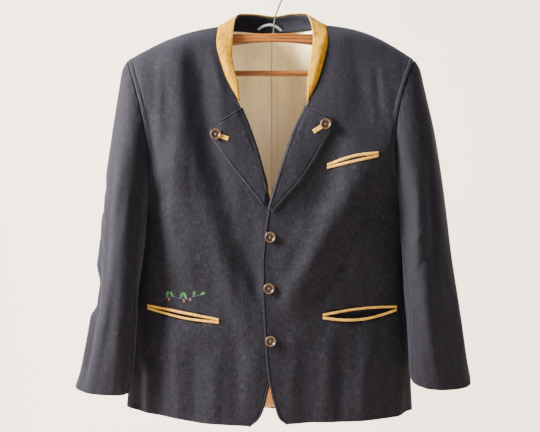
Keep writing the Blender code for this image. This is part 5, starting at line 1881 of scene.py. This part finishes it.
class StageSettings(bpy.types.PropertyGroup):
    """The floor, the light and the camera."""
    floor_level: bpy.props.FloatProperty(
        name="Floor", description="Height of the floor", default=-1.65, unit="LENGTH")
    wall_colour: bpy.props.FloatVectorProperty(
        name="Wall", description="Colour of floor and wall", subtype="COLOR",
        default=(0.93, 0.84, 0.72))
    key_power: bpy.props.FloatProperty(
        name="Window light", description="Power of the large light on the wearer's right",
        default=680.0, unit="POWER")
    fill_power: bpy.props.FloatProperty(
        name="Fill light", description="Power of the soft light opposite", default=38.0, unit="POWER")
    camera_place: bpy.props.FloatVectorProperty(
        name="Camera", description="Place of the camera", subtype="TRANSLATION", unit="LENGTH",
        default=(-0.0064, -1.875, -0.4555))
    camera_lens: bpy.props.FloatProperty(
        name="Focal length", description="Millimetres, on a 36 mm sensor", default=64.2)


def finishes_of(context):
    """The jacket's materials, made once from its settings."""
    jacket = context.scene.jacket
    if not FINISHES:
        cloth = jacket.cloth_dark, jacket.cloth_light
        dark, light, ground = jacket.suede_dark, jacket.suede_light, jacket.lining_ground
        FINISHES["cloth"] = woven_cloth("charcoal_cloth_fine", *cloth)
        FINISHES["lining"] = satin_lining("beige_lining_fine", ground, toned(ground, 0.8),
                                          LINING_DOTS, LINING_HEM_SHADE)
        FINISHES["suede"] = napped_suede("tan_suede_fine", dark, light)
        FINISHES["welt"] = napped_suede("welt_suede_fine", toned(dark, 1.5, 0.01), toned(light, 1.35, 0.05))
        # The pocketing is real cloth; its tone, a tenth darker than the shell cloth, is painted shade for
        # the pocket mouths.
        FINISHES["pocketing"] = woven_cloth("pocketing_fine", *[toned(shade, 0.9) for shade in cloth])
        FINISHES["rim"] = polished_horn("horn_rim", *HORN_RIM)
        FINISHES["horn"] = polished_horn("horn_fine", *HORN_DARK)
        FINISHES["wood"] = varnished_beech("beech_fine", *BEECH)
        FINISHES["steel"] = drawn_steel("steel_fine", STEEL)
        FINISHES["piping"] = napped_suede("suede_cut_edge", toned(dark, 1.4, 0.05), toned(light, 1.2, 0.09))
        FINISHES["tape"] = woven_tape("tape_fine", TAPE)
        for name, colour in THREADS.items():
            FINISHES[name] = spun_thread(f"{name}_thread", colour)
    return FINISHES


# ---------------- operators

class JACKET_OT_body(bpy.types.Operator):
    """Makes the fronts, the back and its lining."""
    bl_idname = "jacket.body"
    bl_label = "Body"

    def execute(self, context):
        jacket = context.scene.jacket
        finishes = finishes_of(context)
        for side in SIDE_SIGN:
            make_front(side, finishes, jacket.cloth_thickness / MM)
            make_back(side, finishes, jacket.cloth_thickness / MM)
            make_lining(side, finishes, jacket.lining_thickness / MM)
        return {"FINISHED"}


class JACKET_OT_sleeves(bpy.types.Operator):
    """Makes both two-piece sleeves."""
    bl_idname = "jacket.sleeves"
    bl_label = "Sleeves"

    def execute(self, context):
        jacket = context.scene.jacket
        finishes = finishes_of(context)
        for side in SIDE_SIGN:
            for part in SLEEVE_SPANS:
                make_sleeve(side, part, finishes, jacket.cloth_thickness / MM)
        return {"FINISHED"}


class JACKET_OT_collar(bpy.types.Operator):
    """Makes the stand collar's suede and its facing."""
    bl_idname = "jacket.collar"
    bl_label = "Collar"

    def execute(self, context):
        jacket = context.scene.jacket
        make_collar(finishes_of(context), jacket.suede_thickness / MM)
        return {"FINISHED"}


class JACKET_OT_lapels(bpy.types.Operator):
    """Makes both lapels."""
    bl_idname = "jacket.lapels"
    bl_label = "Lapels"

    def execute(self, context):
        jacket = context.scene.jacket
        for side in SIDE_SIGN:
            make_lapel(side, finishes_of(context), jacket.cloth_thickness / MM)
        return {"FINISHED"}


class JACKET_OT_pockets(bpy.types.Operator):
    """Makes the welts and pocketing of the three pockets."""
    bl_idname = "jacket.pockets"
    bl_label = "Pockets"

    def execute(self, context):
        for pocket in POCKETS:
            make_welts(pocket, finishes_of(context))
            make_pocketing(pocket, finishes_of(context))
        return {"FINISHED"}


class JACKET_OT_buttons(bpy.types.Operator):
    """Makes the horn buttons, the buttonholes and the lapels' suede tabs."""
    bl_idname = "jacket.buttons"
    bl_label = "Buttons"

    def execute(self, context):
        finishes = finishes_of(context)
        make_front_buttons(finishes)
        for side in SIDE_SIGN:
            make_tab(side, finishes)
            make_lapel_button(side, finishes)
        return {"FINISHED"}


class JACKET_OT_stitching(bpy.types.Operator):
    """Sews the topstitching and the embroidered oak sprig."""
    bl_idname = "jacket.stitching"
    bl_label = "Stitching"

    def execute(self, context):
        finishes = finishes_of(context)
        make_topstitching(finishes)
        make_sprig(finishes)
        return {"FINISHED"}


class JACKET_OT_hanger(bpy.types.Operator):
    """Makes the hang loop and finishes the hanger."""
    bl_idname = "jacket.hanger"
    bl_label = "Hanger"

    def execute(self, context):
        finishes = finishes_of(context)
        make_loop(finishes)
        dress_hanger(finishes)
        return {"FINISHED"}


class JACKET_OT_stage(bpy.types.Operator):
    """Makes the floor and wall, the lights and the camera."""
    bl_idname = "jacket.stage"
    bl_label = "Stage"

    def execute(self, context):
        stage = context.scene.jacket_stage
        make_cove(stage.floor_level, painted("pale_wall", stage.wall_colour, 0.9))
        make_lights(stage.key_power, stage.fill_power)
        make_camera(stage.camera_place, stage.camera_lens)
        return {"FINISHED"}


OPERATORS = (JACKET_OT_body, JACKET_OT_sleeves, JACKET_OT_collar, JACKET_OT_lapels, JACKET_OT_pockets,
             JACKET_OT_buttons, JACKET_OT_stitching, JACKET_OT_hanger, JACKET_OT_stage)


class JACKET_PT_panel(bpy.types.Panel):
    """Lists the jacket's pieces and settings."""
    bl_idname = "JACKET_PT_panel"
    bl_label = "Jacket"
    bl_space_type = "VIEW_3D"
    bl_region_type = "UI"
    bl_category = "Jacket"

    def draw(self, context):
        for group in (context.scene.jacket, context.scene.jacket_stage):
            for name in group.__annotations__:
                self.layout.prop(group, name)
        for operator in OPERATORS:
            self.layout.operator(operator.bl_idname)


CLASSES = (JacketSettings, StageSettings, *OPERATORS, JACKET_PT_panel)


def register():
    """Adds the classes and the scene's settings."""
    for made in CLASSES:
        bpy.utils.register_class(made)
    bpy.types.Scene.jacket = bpy.props.PointerProperty(type=JacketSettings)
    bpy.types.Scene.jacket_stage = bpy.props.PointerProperty(type=StageSettings)


def unregister():
    """Takes them out again."""
    del bpy.types.Scene.jacket_stage
    del bpy.types.Scene.jacket
    for made in reversed(CLASSES):
        bpy.utils.unregister_class(made)


def main():
    """Runs every operator in turn."""
    register()
    for operator in OPERATORS:
        group, name = operator.bl_idname.split(".")
        getattr(getattr(bpy.ops, group), name)()


if __name__ == "__main__":
    main()
